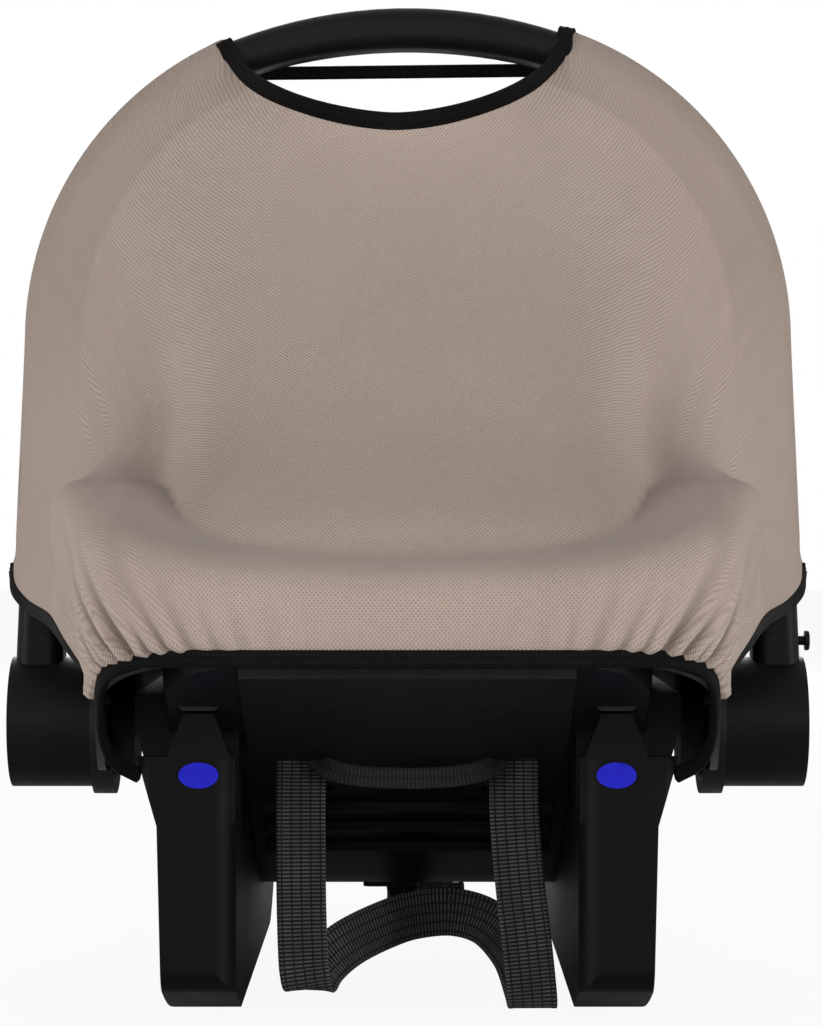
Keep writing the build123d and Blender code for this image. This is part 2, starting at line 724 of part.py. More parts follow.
def arch_outline(inset):
    """Handle arch seen from the head end, walls drawn in by an inset."""
    foot = HUB_Z
    with BuildSketch() as arch:
        with BuildLine():
            side_x = ARCH_X + ARCH_OUTER - inset
            lower = Line((ARM_FOOT_OUTER - inset, foot), (side_x, ARCH_Z))
            rise = math.sqrt((ARCH_OUTER - inset) ** 2 - (GRIP_HALF - ARCH_X) ** 2)
            grip_end = (GRIP_HALF, ARCH_Z + rise)
            RadiusArc(lower @ 1, grip_end, -(ARCH_OUTER - inset))
            crown = ThreePointArc(grip_end, (0, HANDLE_TOP_Z - inset), (-GRIP_HALF, ARCH_Z + rise))
            RadiusArc(crown @ 1, (-side_x, ARCH_Z), -(ARCH_OUTER - inset))
            Line((-side_x, ARCH_Z), (-ARM_FOOT_OUTER + inset, foot))
            Line((-ARM_FOOT_OUTER + inset, foot), (-ARM_FOOT_INNER - inset, foot))
            under_x = ARCH_X + ARCH_INNER + inset
            Line((-ARM_FOOT_INNER - inset, foot), (-under_x, ARCH_Z))
            low_half = GRIP_HALF * 0.75
            low_rise = math.sqrt((ARCH_INNER + inset) ** 2 - (low_half - ARCH_X) ** 2)
            RadiusArc((-under_x, ARCH_Z), (-low_half, ARCH_Z + low_rise), ARCH_INNER + inset)
            ThreePointArc(
                (-low_half, ARCH_Z + low_rise),
                (0, HANDLE_TOP_Z - GRIP_THICK + inset),
                (low_half, ARCH_Z + low_rise),
            )
            RadiusArc((low_half, ARCH_Z + low_rise), (under_x, ARCH_Z), ARCH_INNER + inset)
            Line((under_x, ARCH_Z), (ARM_FOOT_INNER + inset, foot))
            Line((ARM_FOOT_INNER + inset, foot), (ARM_FOOT_OUTER - inset, foot))
        make_face()
    return arch.sketch


def arch_middle():
    """Everything under the parting line of the two handle halves."""
    with BuildSketch() as region:
        with BuildLine():
            mid_radius = (ARCH_OUTER + ARCH_INNER) / 2
            foot_x = (ARM_FOOT_OUTER + ARM_FOOT_INNER) / 2
            side_x = ARCH_X + mid_radius
            end = GRIP_HALF * 0.87
            rise = math.sqrt(mid_radius**2 - (end - ARCH_X) ** 2)
            Line((foot_x, 0), (side_x, ARCH_Z))
            RadiusArc((side_x, ARCH_Z), (end, ARCH_Z + rise), -mid_radius)
            ThreePointArc((end, ARCH_Z + rise), (0, HANDLE_TOP_Z - GRIP_THICK / 2), (-end, ARCH_Z + rise))
            RadiusArc((-end, ARCH_Z + rise), (-side_x, ARCH_Z), -mid_radius)
            Line((-side_x, ARCH_Z), (-foot_x, 0))
            Line((-foot_x, 0), (foot_x, 0))
        make_face()
    return region.sketch


def handle_bar():
    """Whole bar of the handle with rounded edges."""
    with BuildPart() as bar:
        with BuildSketch(Plane.XZ):
            add(arch_outline(0))
        extrude(amount=HANDLE_DEPTH / 2, both=True)
        faces = bar.faces().filter_by(Axis.Y)
        fillet(faces.edges().filter_by_position(Axis.Z, HUB_Z + 1, FAR), EDGE_ROUND)
    return bar.part


def handle_hollow():
    """Space inside the bar."""
    with BuildPart() as hollow:
        with BuildSketch(Plane.XZ):
            add(arch_outline(HANDLE_WALL))
        extrude(amount=HANDLE_DEPTH / 2 - HANDLE_WALL, both=True)
        fillet(hollow.edges().filter_by(Axis.Y, reverse=True).filter_by_position(Axis.Z, HUB_Z + 1, FAR), 5)
    return hollow.part


def under_parting():
    """Prism under the parting line."""
    with BuildPart() as prism:
        with BuildSketch(Plane.XZ):
            add(arch_middle())
        extrude(amount=FAR, both=True)
    return prism.part


bar = handle_bar()
bar_hollow = handle_hollow()
parting = under_parting()
INNER_HALF_FOOT_Z = HUB_Z + HUB_RADIUS + 14.0
foot_height = INNER_HALF_FOOT_Z - HUB_Z - GAP
arm_feet = bar & Pos(0, 0, HUB_Z) * Box(FAR, HANDLE_DEPTH, foot_height, align=(Align.CENTER, Align.CENTER, Align.MIN))
outer_bar = bar - parting
inner_bar = bar & parting

with BuildPart() as handle_outer:
    add(outer_bar)
    add(bar_hollow, mode=Mode.SUBTRACT)
    add(arm_feet)
    for side in (-1, 1):
        with BuildSketch(side_plane(side, HUB_INNER_X, 0, HUB_Z)):
            Circle(HUB_RADIUS)
        extrude(amount=HUB_OUTER_X - HUB_INNER_X)
        with BuildSketch(side_plane(side, HUB_INNER_X - 1, 0, HUB_Z)):
            Circle(GEAR_RADIUS + SLIDE - TOOTH_DEPTH)
            with PolarLocations(GEAR_RADIUS - TOOTH_DEPTH / 2, GEAR_TEETH):
                Rectangle(TOOTH_DEPTH + 4 * SLIDE, TOOTH_WIDTH + 2 * SLIDE)
        extrude(amount=WEB_IN_X - HUB_INNER_X + 1, mode=Mode.SUBTRACT)
        with BuildSketch(side_plane(side, WEB_OUT_X, 0, HUB_Z)):
            Circle(CAP_RADIUS + RUN)
        extrude(amount=FAR, mode=Mode.SUBTRACT)
        with BuildSketch(side_plane(side, WEB_IN_X, 0, HUB_Z)):
            Circle(AXLE_RADIUS + RUN)
            with PolarLocations(PUSH_PIN_CIRCLE, 3):
                Circle(PUSH_PIN_RADIUS + SLIDE)
        extrude(amount=WEB_OUT_X - WEB_IN_X, mode=Mode.SUBTRACT)
handle_outer.part.label = "handle_outer"
export_step(handle_outer.part, "parts/handle_outer.step")

with BuildPart() as handle_inner:
    add(inner_bar)
    add(bar_hollow, mode=Mode.SUBTRACT)
    with Locations((0, 0, INNER_HALF_FOOT_Z)):
        Box(FAR, FAR, FAR, align=(Align.CENTER, Align.CENTER, Align.MAX), mode=Mode.SUBTRACT)
handle_inner.part.label = "handle_inner"
export_step(handle_inner.part, "parts/handle_inner.step")


def hub_cap(side):
    """Disc that closes one hub, with the hole for the button."""
    with BuildPart() as cap:
        with BuildSketch(side_plane(side, HUB_OUTER_X - CAP_THICK, 0, HUB_Z)):
            Circle(CAP_RADIUS)
            Circle(BUTTON_RADIUS + SLIDE, mode=Mode.SUBTRACT)
        extrude(amount=CAP_THICK)
        with BuildSketch(side_plane(side, WEB_OUT_X + 0.05, 0, HUB_Z)):
            Circle(CAP_RADIUS - 0.5)
            Circle(CAP_RADIUS - 3, mode=Mode.SUBTRACT)
        extrude(amount=HUB_OUTER_X - CAP_THICK - WEB_OUT_X)
    return cap.part


def handle_button(side):
    """Push button of one hub with the three pins that reach the lock gear."""
    with BuildPart() as button:
        with BuildSketch(side_plane(side, BUTTON_IN_X, 0, HUB_Z)):
            Circle(BUTTON_RADIUS)
        extrude(amount=HUB_OUTER_X - BUTTON_IN_X)
        fillet(button.edges().filter_by(GeomType.CIRCLE).sort_by(Axis.X)[-1 if side > 0 else 0], 2)
        with BuildSketch(side_plane(side, BUTTON_IN_X, 0, HUB_Z)):
            Circle(PUSH_PIN_CIRCLE + PUSH_PIN_RADIUS + 1)
        extrude(amount=HUB_OUTER_X - CAP_THICK - RUN - BUTTON_IN_X)
        with BuildSketch(side_plane(side, GEAR_IN_X + GEAR_THICK + 0.02, 0, HUB_Z)):
            with PolarLocations(PUSH_PIN_CIRCLE, 3):
                Circle(PUSH_PIN_RADIUS)
        extrude(amount=BUTTON_IN_X - GEAR_IN_X - GEAR_THICK)
    return button.part


def lock_gear(side):
    """Toothed slug that keys the handle hub to the shell socket."""
    with BuildPart() as gear:
        with BuildSketch(side_plane(side, GEAR_IN_X, 0, HUB_Z)):
            Circle(GEAR_RADIUS - TOOTH_DEPTH)
            with PolarLocations(GEAR_RADIUS - TOOTH_DEPTH, GEAR_TEETH):
                Rectangle(2 * TOOTH_DEPTH - SLIDE, TOOTH_WIDTH)
            Circle(AXLE_RADIUS + 2, mode=Mode.SUBTRACT)
        extrude(amount=GEAR_THICK)
    return gear.part


def button_spring(side):
    """Sleeve standing in for the coil behind the lock gear."""
    with BuildPart() as spring:
        with BuildSketch(side_plane(side, SOCKET_FLOOR_X + WALL + 0.02, 0, HUB_Z)):
            Circle(SPRING_RADIUS)
            Circle(SPRING_RADIUS - SPRING_WIRE, mode=Mode.SUBTRACT)
        extrude(amount=GEAR_IN_X - SOCKET_FLOOR_X - WALL - 0.04)
    return spring.part


with BuildPart() as right_hub_cap:
    add(hub_cap(1))
right_hub_cap.part.label = "right_hub_cap"
export_step(right_hub_cap.part, "parts/right_hub_cap.step")

with BuildPart() as left_hub_cap:
    add(hub_cap(-1))
left_hub_cap.part.label = "left_hub_cap"
export_step(left_hub_cap.part, "parts/left_hub_cap.step")

with BuildPart() as right_handle_button:
    add(handle_button(1))
right_handle_button.part.label = "right_handle_button"
export_step(right_handle_button.part, "parts/right_handle_button.step")

with BuildPart() as left_handle_button:
    add(handle_button(-1))
left_handle_button.part.label = "left_handle_button"
export_step(left_handle_button.part, "parts/left_handle_button.step")

with BuildPart() as right_lock_gear:
    add(lock_gear(1))
right_lock_gear.part.label = "right_lock_gear"
export_step(right_lock_gear.part, "parts/right_lock_gear.step")

with BuildPart() as left_lock_gear:
    add(lock_gear(-1))
left_lock_gear.part.label = "left_lock_gear"
export_step(left_lock_gear.part, "parts/left_lock_gear.step")

with BuildPart() as right_button_spring:
    add(button_spring(1))
right_button_spring.part.label = "right_button_spring"
export_step(right_button_spring.part, "parts/right_button_spring.step")

with BuildPart() as left_button_spring:
    add(button_spring(-1))
left_button_spring.part.label = "left_button_spring"
export_step(left_button_spring.part, "parts/left_button_spring.step")

with BuildPart() as hub_bolts:
    for side in (-1, 1):
        with BuildSketch(side_plane(side, SOCKET_FLOOR_X - NUT_THICK - 1, 0, HUB_Z)):
            Circle(AXLE_RADIUS)
        extrude(amount=WEB_OUT_X + RUN - SOCKET_FLOOR_X + NUT_THICK + 1)
        with BuildSketch(side_plane(side, WEB_OUT_X + RUN, 0, HUB_Z)):
            Circle(AXLE_HEAD_RADIUS)
        extrude(amount=AXLE_HEAD)
        with BuildSketch(side_plane(side, WEB_OUT_X + RUN + AXLE_HEAD, 0, HUB_Z)):
            RegularPolygon(4, 6)
        extrude(amount=-3, mode=Mode.SUBTRACT)
hub_bolts.part.label = "hub_bolts"
export_step(hub_bolts.part, "parts/hub_bolts.step")

with BuildPart() as hub_nuts:
    for side in (-1, 1):
        with BuildSketch(side_plane(side, SOCKET_FLOOR_X - RUN - NUT_THICK, 0, HUB_Z)):
            RegularPolygon(NUT_RADIUS, 6)
            Circle(AXLE_RADIUS + RUN, mode=Mode.SUBTRACT)
        extrude(amount=NUT_THICK)
hub_nuts.part.label = "hub_nuts"
export_step(hub_nuts.part, "parts/hub_nuts.step")

PEG_SHARE = (PEG_Z - PEG_HEAD_RADIUS - HUB_Z) / (ARCH_Z - HUB_Z)
PEG_FACE_X = ARM_FOOT_OUTER - (ARM_FOOT_OUTER - ARCH_X - ARCH_OUTER) * PEG_SHARE

with BuildPart() as canopy_peg:
    with BuildSketch(side_plane(1, PEG_FACE_X + RUN, 0, PEG_Z)):
        Circle(PEG_STEM_RADIUS)
    extrude(amount=PEG_STEM)
    with BuildSketch(side_plane(1, PEG_FACE_X + RUN + PEG_STEM, 0, PEG_Z)):
        Circle(PEG_HEAD_RADIUS)
    extrude(amount=PEG_HEAD)
    fillet(canopy_peg.edges().filter_by(GeomType.CIRCLE).sort_by(Axis.X)[-1], 1)
canopy_peg.part.label = "canopy_peg"
export_step(canopy_peg.part, "parts/canopy_peg.step")

# Canopy: one stretch sheet over the handle, down to the head end and round under the rim
CLOTH = 1.6
CLOTH_OFF = 0.6
FAN_Z = 150.0
FAN_START = 12.0
WRAP_Y = HANDLE_DEPTH / 2 + CLOTH_OFF + CLOTH
RIM_ANGLE = 76.0
SADDLE_END = 0.97  # share of the way to the rim over which the sheet hangs in a saddle
SADDLE_SAG = 0.065
SADDLE_WAIST = 22.0
SADDLE_ROUND = 46.0
FLAP_FOOT = 196.0  # half width between the flap's edges at the side hem
FLAP_BEND = 172.0
FLAP_BEND_Z = 360.0
TAPE_HALF = 84.0  # the tape runs straight across under the grip between plus and minus this
TAPE_Z = 501.0
TAPE_WIDTH = 8.0
HEM_SIDE_Z = 221.0
HEM_CORNER_Y = -257.0
HEM_CORNER_Z = 163.0
HEM_HEAD_Z = 186.0
OPEN_HALF = 103.0
OPEN_TOP_Z = 520.0
OPEN_LOW_Z = 469.0


def canopy_face(degrees, inset):
    """Arch of the canopy on a plane swung back from upright, in local width and reach."""
    share = degrees / RIM_ANGLE
    swing = math.radians(degrees)
    crest = ARCH_Z + ARCH_OUTER + CLOTH_OFF + CLOTH - FAN_Z
    rim_back = -HEAD_END_Y - WRAP_Y + 2.0 + CLOTH
    rim_up = HEAD_RIM_Z + RIM_COVER + 2 * GAP + 3 + CLOTH - FAN_Z
    fall = (crest - rim_up) / rim_back
    saddle = math.sin(math.pi * min(share / SADDLE_END, 1.0))
    if share > 1:
        reach = rim_back / math.sin(swing)
    else:
        sag = 0.03 * math.sin(math.pi * share) + SADDLE_SAG * saddle
        reach = crest / (math.cos(swing) + fall * math.sin(swing)) * (1 - sag)
    share = min(share, 1.0)
    base = ARM_FOOT_OUTER + CLOTH_OFF + CLOTH
    side_top = ARCH_X + ARCH_OUTER + CLOTH_OFF + CLOTH
    shoulder = side_top + (HEAD_HALF + 10 - side_top) * share**1.2
    shoulder = shoulder - SADDLE_WAIST * (1.3 - share) * saddle
    bend = ARCH_Z - FAN_Z
    bend = bend - 195 * share + 238 * share**2
    top_half = ARCH_X + (HEAD_HALF - HEAD_CORNER + 5 - ARCH_X) * share - SADDLE_ROUND * saddle
    fullness = math.sqrt(0.5) + 0.11 * share - 0.09 * saddle
    mid_x = top_half + (shoulder - top_half) * fullness
    mid_r = bend + (reach - bend) * fullness
    with BuildSketch() as face:
        with BuildLine():
            Line((-base + inset, FAN_START), (base - inset, FAN_START))
            Line((base - inset, FAN_START), (shoulder - inset, bend))
            ThreePointArc(
                (shoulder - inset, bend),
                (mid_x - inset * math.sqrt(0.5), mid_r - inset * math.sqrt(0.5)),
                (top_half, reach - inset),
            )
            Line((top_half, reach - inset), (-top_half, reach - inset))
            ThreePointArc(
                (-top_half, reach - inset),
                (-mid_x + inset * math.sqrt(0.5), mid_r - inset * math.sqrt(0.5)),
                (-shoulder + inset, bend),
            )
            Line((-shoulder + inset, bend), (-base + inset, FAN_START))
        make_face()
    return face.sketch


def canopy_block(inset):
    """Solid under the canopy, from the front of the handle back to the hem."""
    with BuildPart() as block:
        front = WRAP_Y - inset
        with BuildSketch(Plane(origin=(0, front, FAN_Z), x_dir=(1, 0, 0), z_dir=(0, -1, 0))):
            add(canopy_face(0, inset))
        extrude(amount=front + WRAP_Y)
        for degrees in (0, 6, 12, 18, 24, 36, 48, 60, 69, RIM_ANGLE, 83, 90):
            swing = math.radians(degrees)
            facing = (0, -math.cos(swing), -math.sin(swing))
            plane = Plane(origin=(0, -WRAP_Y, FAN_Z), x_dir=(1, 0, 0), z_dir=facing)
            with BuildSketch(plane):
                add(canopy_face(degrees, inset))
        loft(ruled=True)
    return block.part


canopy_outside = canopy_block(0.0)
canopy_inside = canopy_block(CLOTH)

with BuildPart() as canopy:
    add(canopy_outside)
    add(canopy_inside, mode=Mode.SUBTRACT)
    with BuildSketch(Plane.YZ):
        with BuildLine():
            Polyline(
                (60, 60),
                (60, HEM_SIDE_Z + 6),
                (-WRAP_Y, HEM_SIDE_Z),
                (HEM_CORNER_Y, HEM_CORNER_Z),
                (HEAD_END_Y + 12, HEM_HEAD_Z - 3),
                (HEAD_END_Y - 30, HEM_HEAD_Z),
                (HEAD_END_Y - 30, 60),
                close=True,
            )
        make_face()
    extrude(amount=FAR, both=True, mode=Mode.SUBTRACT)
    with BuildSketch(Plane.XZ):
        with BuildLine():
            Line((-OPEN_HALF, OPEN_TOP_Z + 60), (OPEN_HALF, OPEN_TOP_Z + 60))
            Line((OPEN_HALF, OPEN_TOP_Z + 60), (OPEN_HALF, OPEN_TOP_Z))
            ThreePointArc((OPEN_HALF, OPEN_TOP_Z), (0, OPEN_LOW_Z), (-OPEN_HALF, OPEN_TOP_Z))
            Line((-OPEN_HALF, OPEN_TOP_Z), (-OPEN_HALF, OPEN_TOP_Z + 60))
        make_face()
    extrude(amount=150, both=True, mode=Mode.SUBTRACT)
    with BuildSketch(Plane.XZ):
        with BuildLine():
            Polyline(
                (-FLAP_FOOT, 60),
                (FLAP_FOOT, 60),
                (FLAP_FOOT, HEM_SIDE_Z),
                (FLAP_BEND, FLAP_BEND_Z),
                (TAPE_HALF, TAPE_Z),
                (-TAPE_HALF, TAPE_Z),
                (-FLAP_BEND, FLAP_BEND_Z),
                (-FLAP_FOOT, HEM_SIDE_Z),
                close=True,
            )
        make_face()
    extrude(amount=-60, mode=Mode.SUBTRACT)
    with Locations((0, WRAP_Y, TAPE_Z)):
        Box(
            2 * (TAPE_HALF + TAPE_WIDTH),
            CLOTH,
            TAPE_WIDTH,
            align=(Align.CENTER, Align.MAX, Align.MIN),
        )
canopy.part.label = "canopy"
export_step(canopy.part, "parts/canopy.step")


def cushion_top(y, lift=0.0):
    """Height above the insert cushion on the reclined back."""
    return back_z(y, SEAT_LIFT + CUSHION + lift)


def buckle_spot(x, up, out):
    """Point in the buckle's own frame: across, toward the tongues, out of its face."""
    lean = math.radians(BUCKLE_LEAN)
    y = BUCKLE_Y - up * math.sin(lean) + out * math.cos(lean)
    z = BUCKLE_Z + up * math.cos(lean) + out * math.sin(lean)
    return (x, y, z)


def buckle_plane(x, up, out):
    """Plane on the buckle's face, local y toward the tongues."""
    lean = math.radians(BUCKLE_LEAN)
    return Plane(origin=buckle_spot(x, up, out), x_dir=(-1, 0, 0), z_dir=(0, math.cos(lean), math.sin(lean)))


LEAN = math.radians(BACK_ANGLE)
ON_BACK = (0, math.sin(LEAN), math.cos(LEAN))
AT_HEAD = (0, -math.cos(LEAN), math.sin(LEAN))
TONGUE_OUT = -3.0
STRAP_START = BUCKLE_LENGTH / 2 + TONGUE_HEAD_LENGTH * 0.55


def slot_spot(side, up):
    """Point in an upper harness slot, up along its own direction."""
    return (side * SLOT_X, SLOT_Y + up * math.sin(LEAN), back_z(SLOT_Y) + up * math.cos(LEAN))


def front_spot(side, y):
    """Middle of a shoulder strap on the reclined back at y."""
    share = (PAD_FOOT_Y + 32 - y) / (PAD_FOOT_Y + 32 - PAD_HEAD_Y)
    return (side * (18 + 31 * share), y, cushion_top(y, HARNESS_LIFT))


def shoulder_run(side):
    """Stations of one shoulder strap, from its tongue up to and through its slot."""
    return [
        (buckle_spot(side * TONGUE_HEAD_X, STRAP_START, TONGUE_OUT), ON_BACK),
        (buckle_spot(side * TONGUE_HEAD_X, STRAP_START + 16, TONGUE_OUT), ON_BACK),
        (front_spot(side, PAD_FOOT_Y + 10), ON_BACK),
        (front_spot(side, PAD_FOOT_Y), ON_BACK),
        (front_spot(side, (PAD_FOOT_Y + PAD_HEAD_Y) / 2), ON_BACK),
        (front_spot(side, PAD_HEAD_Y), ON_BACK),
        ((side * 52, -147, back_z(-147) + 51), (0, -0.15, 0.99)),
        ((side * 53.5, -153, back_z(-153) + 45), (0, -0.8, 0.6)),
        (slot_spot(side, 27), AT_HEAD),
        (slot_spot(side, 4), AT_HEAD),
        (slot_spot(side, -6), AT_HEAD),
    ]


BACKWARD = (0, -1, 0)
FORWARD = (0, 1, 0)
DOWN = (0, 0, -1)
ARCH_TOP_Y = -123.0
ARCH_TOP_Z = 48.0
PULL_X = 17.0

rear_loop = [
    ((-54, -176, 104), BACKWARD),
    ((-53.5, -184, 64), BACKWARD),
    ((-52.5, -188, 34), BACKWARD),
    ((-51.5, -189, 24), (0, -1, -0.1)),
    ((-50.5, -187, 18.5), (0, -0.7, -0.7)),
    ((-49, -183, 16.5), DOWN),
    ((-47.5, -179, 18.5), (0, 0.7, -0.7)),
    ((-43, -174, 27), FORWARD),
    ((-30, -162, 37), FORWARD),
    ((-10, -142, 44.5), FORWARD),
    ((6, -128, ARCH_TOP_Z - 0.5), FORWARD),
    ((PULL_X + 8, ARCH_TOP_Y, ARCH_TOP_Z), FORWARD),
    ((42, -131, 43), FORWARD),
    ((55, -149, 30), FORWARD),
    ((61, -166, 15), FORWARD),
    ((62.5, -172, 8.5), (0, 0.7, -0.7)),
    ((63, -177, 6.5), DOWN),
    ((63, -181.5, 8.5), (0, -0.7, -0.7)),
    ((62.5, -184, 16), (0, -1, -0.1)),
    ((60, -185, 40), BACKWARD),
    ((56.5, -182, 70), BACKWARD),
    ((54, -175, 104), BACKWARD),
]
left_run = shoulder_run(-1)
right_run = list(reversed(shoulder_run(1)))
webbing = ribbon(left_run + rear_loop + right_run, WEB_WIDTH, WEB_THICK)

with BuildPart() as harness_webbing:
    add(webbing)
harness_webbing.part.label = "harness_webbing"
export_step(harness_webbing.part, "parts/harness_webbing.step")


def shoulder_pad(side):
    """Padded sleeve round one shoulder strap."""
    ys = (PAD_FOOT_Y, (PAD_FOOT_Y + PAD_HEAD_Y) / 2, PAD_HEAD_Y)
    core = [(front_spot(side, y), ON_BACK) for y in ys]
    bore = [(front_spot(side, y), ON_BACK) for y in (PAD_FOOT_Y + 5, ys[1], PAD_HEAD_Y - 5)]
    outside = ribbon(core, PAD_WIDTH, PAD_THICK)
    channel = ribbon(bore, WEB_WIDTH + 3, WEB_THICK + 1.4)
    with BuildPart() as pad:
        add(outside)
        fillet(pad.edges().filter_by(Axis.X, reverse=True).sort_by(SortBy.LENGTH)[-8:], PAD_THICK / 2 - 1)
        add(channel, mode=Mode.SUBTRACT)
    return pad.part


left_pad = shoulder_pad(-1)
right_pad = shoulder_pad(1)

with BuildPart() as left_shoulder_pad:
    add(left_pad)
left_shoulder_pad.part.label = "left_shoulder_pad"
export_step(left_shoulder_pad.part, "parts/left_shoulder_pad.step")

with BuildPart() as right_shoulder_pad:
    add(right_pad)
right_shoulder_pad.part.label = "right_shoulder_pad"
export_step(right_shoulder_pad.part, "parts/right_shoulder_pad.step")

TETHER_OFF = 2.2


def tether_run(side):
    """Stations of half of the pad tether, from inside one slot to the middle."""
    spots = []
    for up in (16, 3, -5):
        x, y, z = slot_spot(side, up)
        spot = (side * (SLOT_X - 7), y + TETHER_OFF * AT_HEAD[1], z + TETHER_OFF * AT_HEAD[2])
        spots.append((spot, BACKWARD))
    spots.append(((side * 43, -177, 117), BACKWARD))
    spots.append(((side * 28, -181, 110), BACKWARD))
    spots.append(((side * 12, -183, 107.5), BACKWARD))
    return spots


tether = ribbon(tether_run(-1) + list(reversed(tether_run(1))), TETHER_WIDTH, WEB_THICK)

with BuildPart() as pad_tether:
    add(tether)
pad_tether.part.label = "pad_tether"
export_step(pad_tether.part, "parts/pad_tether.step")


def adjuster_spot(along, up):
    """Point in the adjuster's own frame: toward the foot end along the slope, and up from the shell."""
    lean = math.radians(THIGH_ANGLE)
    y = ADJUSTER_Y + along * math.cos(lean) - up * math.sin(lean)
    z = thigh_z(ADJUSTER_Y, WALL + RUN) + along * math.sin(lean) + up * math.cos(lean)
    return (0, y, z)


THIGH_LEAN = math.radians(THIGH_ANGLE)
ON_THIGH = (0, -math.sin(THIGH_LEAN), math.cos(THIGH_LEAN))
UP_THIGH = (0, -math.cos(THIGH_LEAN), -math.sin(THIGH_LEAN))
INTO_SLOT = (0, ON_THIGH[1] + UP_THIGH[1], ON_THIGH[2] + UP_THIGH[2])
UPWARD = (0, 0, 1)
SLOT_ALONG = -(ADJUSTER_Y - ADJUSTER_SLOT_Y) / math.cos(THIGH_LEAN)
STRAP_SPACE = WEB_THICK / 2 + GAP
STRAP_UP = ADJUSTER_WALL + STRAP_SPACE
STRAP_CORNER = SLOT_ALONG + SLOT_DEPTH / 2
STRAP_DROP = STRAP_CORNER - STRAP_SPACE
TAIL_UP = (LINER_LIFT + LINER - WALL) * math.cos(THIGH_LEAN) + 2.0

pull_stations = [
    (adjuster_spot(64, TAIL_UP), ON_THIGH),
    (adjuster_spot(46, TAIL_UP), ON_THIGH),
    (adjuster_spot(38, TAIL_UP - 0.3), ON_THIGH),
    (adjuster_spot(31, STRAP_UP + 4), ON_THIGH),
    (adjuster_spot(24, STRAP_UP), ON_THIGH),
    (adjuster_spot(STRAP_CORNER, STRAP_UP), ON_THIGH),
    (adjuster_spot(STRAP_CORNER - 0.7 * STRAP_SPACE, ADJUSTER_WALL + 0.7 * STRAP_SPACE), INTO_SLOT),
    (adjuster_spot(STRAP_DROP, ADJUSTER_WALL), UP_THIGH),
    (adjuster_spot(SLOT_ALONG, -1), UP_THIGH),
    (adjuster_spot(SLOT_ALONG, -8), UP_THIGH),
    (adjuster_spot(SLOT_ALONG - 2, -12), (0, -0.9, 0.4)),
    (adjuster_spot(SLOT_ALONG - 8, -14), ON_THIGH),
    (adjuster_spot(-60, -14), ON_THIGH),
    ((0, 118, 29), (0, -0.3, 0.95)),
    ((0, 70, 27), UPWARD),
    ((4, 20, 30), UPWARD),
    ((11, -40, 37), UPWARD),
    ((15.5, -78, 46), (0, 0.2, 0.97)),
    ((PULL_X, -100, 56), (0, 0.4, 0.9)),
    ((PULL_X, -112, 63), (0, 0.4, 0.9)),
    ((PULL_X, -120, 65.5), UPWARD),
    ((PULL_X, -128, 65), (0, -0.4, 0.9)),
    ((PULL_X, -134, 60), (0, -0.9, 0.4)),
    ((PULL_X, -135.5, 47), BACKWARD),
    ((PULL_X, -134.5, 34), (0, -0.9, -0.4)),
    ((PULL_X, -129, 28), (0, -0.4, -0.9)),
    ((PULL_X, -119, 28.5), DOWN),
    ((PULL_X, -107, 35), (0, 0.5, -0.87)),
    ((PULL_X, -91, 50.5), (0, 0.6, -0.8)),
]
pull_strap = ribbon(pull_stations, WEB_WIDTH, WEB_THICK)

with BuildPart() as adjuster_strap:
    add(pull_strap)
adjuster_strap.part.label = "adjuster_strap"
export_step(adjuster_strap.part, "parts/adjuster_strap.step")

with BuildPart() as adjuster_housing:
    with BuildSketch(slope_plane(0, ADJUSTER_Y, WALL + RUN)):
        RectangleRounded(ADJUSTER_WIDTH, ADJUSTER_LENGTH, 6)
    extrude(amount=ADJUSTER_HEIGHT)
    fillet(adjuster_housing.faces().sort_by(Axis.Z)[-1].edges(), 3)
    with Locations(slope_plane(0, ADJUSTER_Y, WALL + RUN)):
        with Locations((0, 20 + SLOT_ALONG / 2, ADJUSTER_WALL)):
            Box(WEB_WIDTH + 2, 60, 6, align=(Align.CENTER, Align.CENTER, Align.MIN), mode=Mode.SUBTRACT)
        with Locations((0, SLOT_ALONG, -1)):
            Box(WEB_WIDTH + 2, SLOT_DEPTH, 8, align=(Align.CENTER, Align.CENTER, Align.MIN), mode=Mode.SUBTRACT)
        with Locations((0, 0, ADJUSTER_WALL + 7)):
            Box(
                PUSH_WIDTH + 2 * SLIDE,
                PUSH_LENGTH + 2 * SLIDE,
                FAR,
                align=(Align.CENTER, Align.CENTER, Align.MIN),
                mode=Mode.SUBTRACT,
            )
adjuster_housing.part.label = "adjuster_housing"
export_step(adjuster_housing.part, "parts/adjuster_housing.step")

PUSH_TOP = ADJUSTER_HEIGHT + 2.5
PUSH_FLOOR = ADJUSTER_WALL + 7

with BuildPart() as adjuster_button:
    with Locations(slope_plane(0, ADJUSTER_Y, WALL + RUN)):
        with Locations((0, 0, PUSH_TOP)):
            Box(PUSH_WIDTH, PUSH_LENGTH, PUSH_DEPTH, align=(Align.CENTER, Align.CENTER, Align.MAX))
    fillet(adjuster_button.faces().sort_by(Axis.Z)[-1].edges(), 2)
adjuster_button.part.label = "adjuster_button"
export_step(adjuster_button.part, "parts/adjuster_button.step")

with BuildPart() as adjuster_spring:
    with Locations(slope_plane(0, ADJUSTER_Y, WALL + RUN)):
        with Locations((0, 0, PUSH_FLOOR + 0.02)):
            Cylinder(5, PUSH_TOP - PUSH_DEPTH - PUSH_FLOOR - 0.04, align=(Align.CENTER, Align.CENTER, Align.MIN))
            Cylinder(4, FAR, mode=Mode.SUBTRACT)
adjuster_spring.part.label = "adjuster_spring"
export_step(adjuster_spring.part, "parts/adjuster_spring.step")

ANCHOR_THICK = 2.5

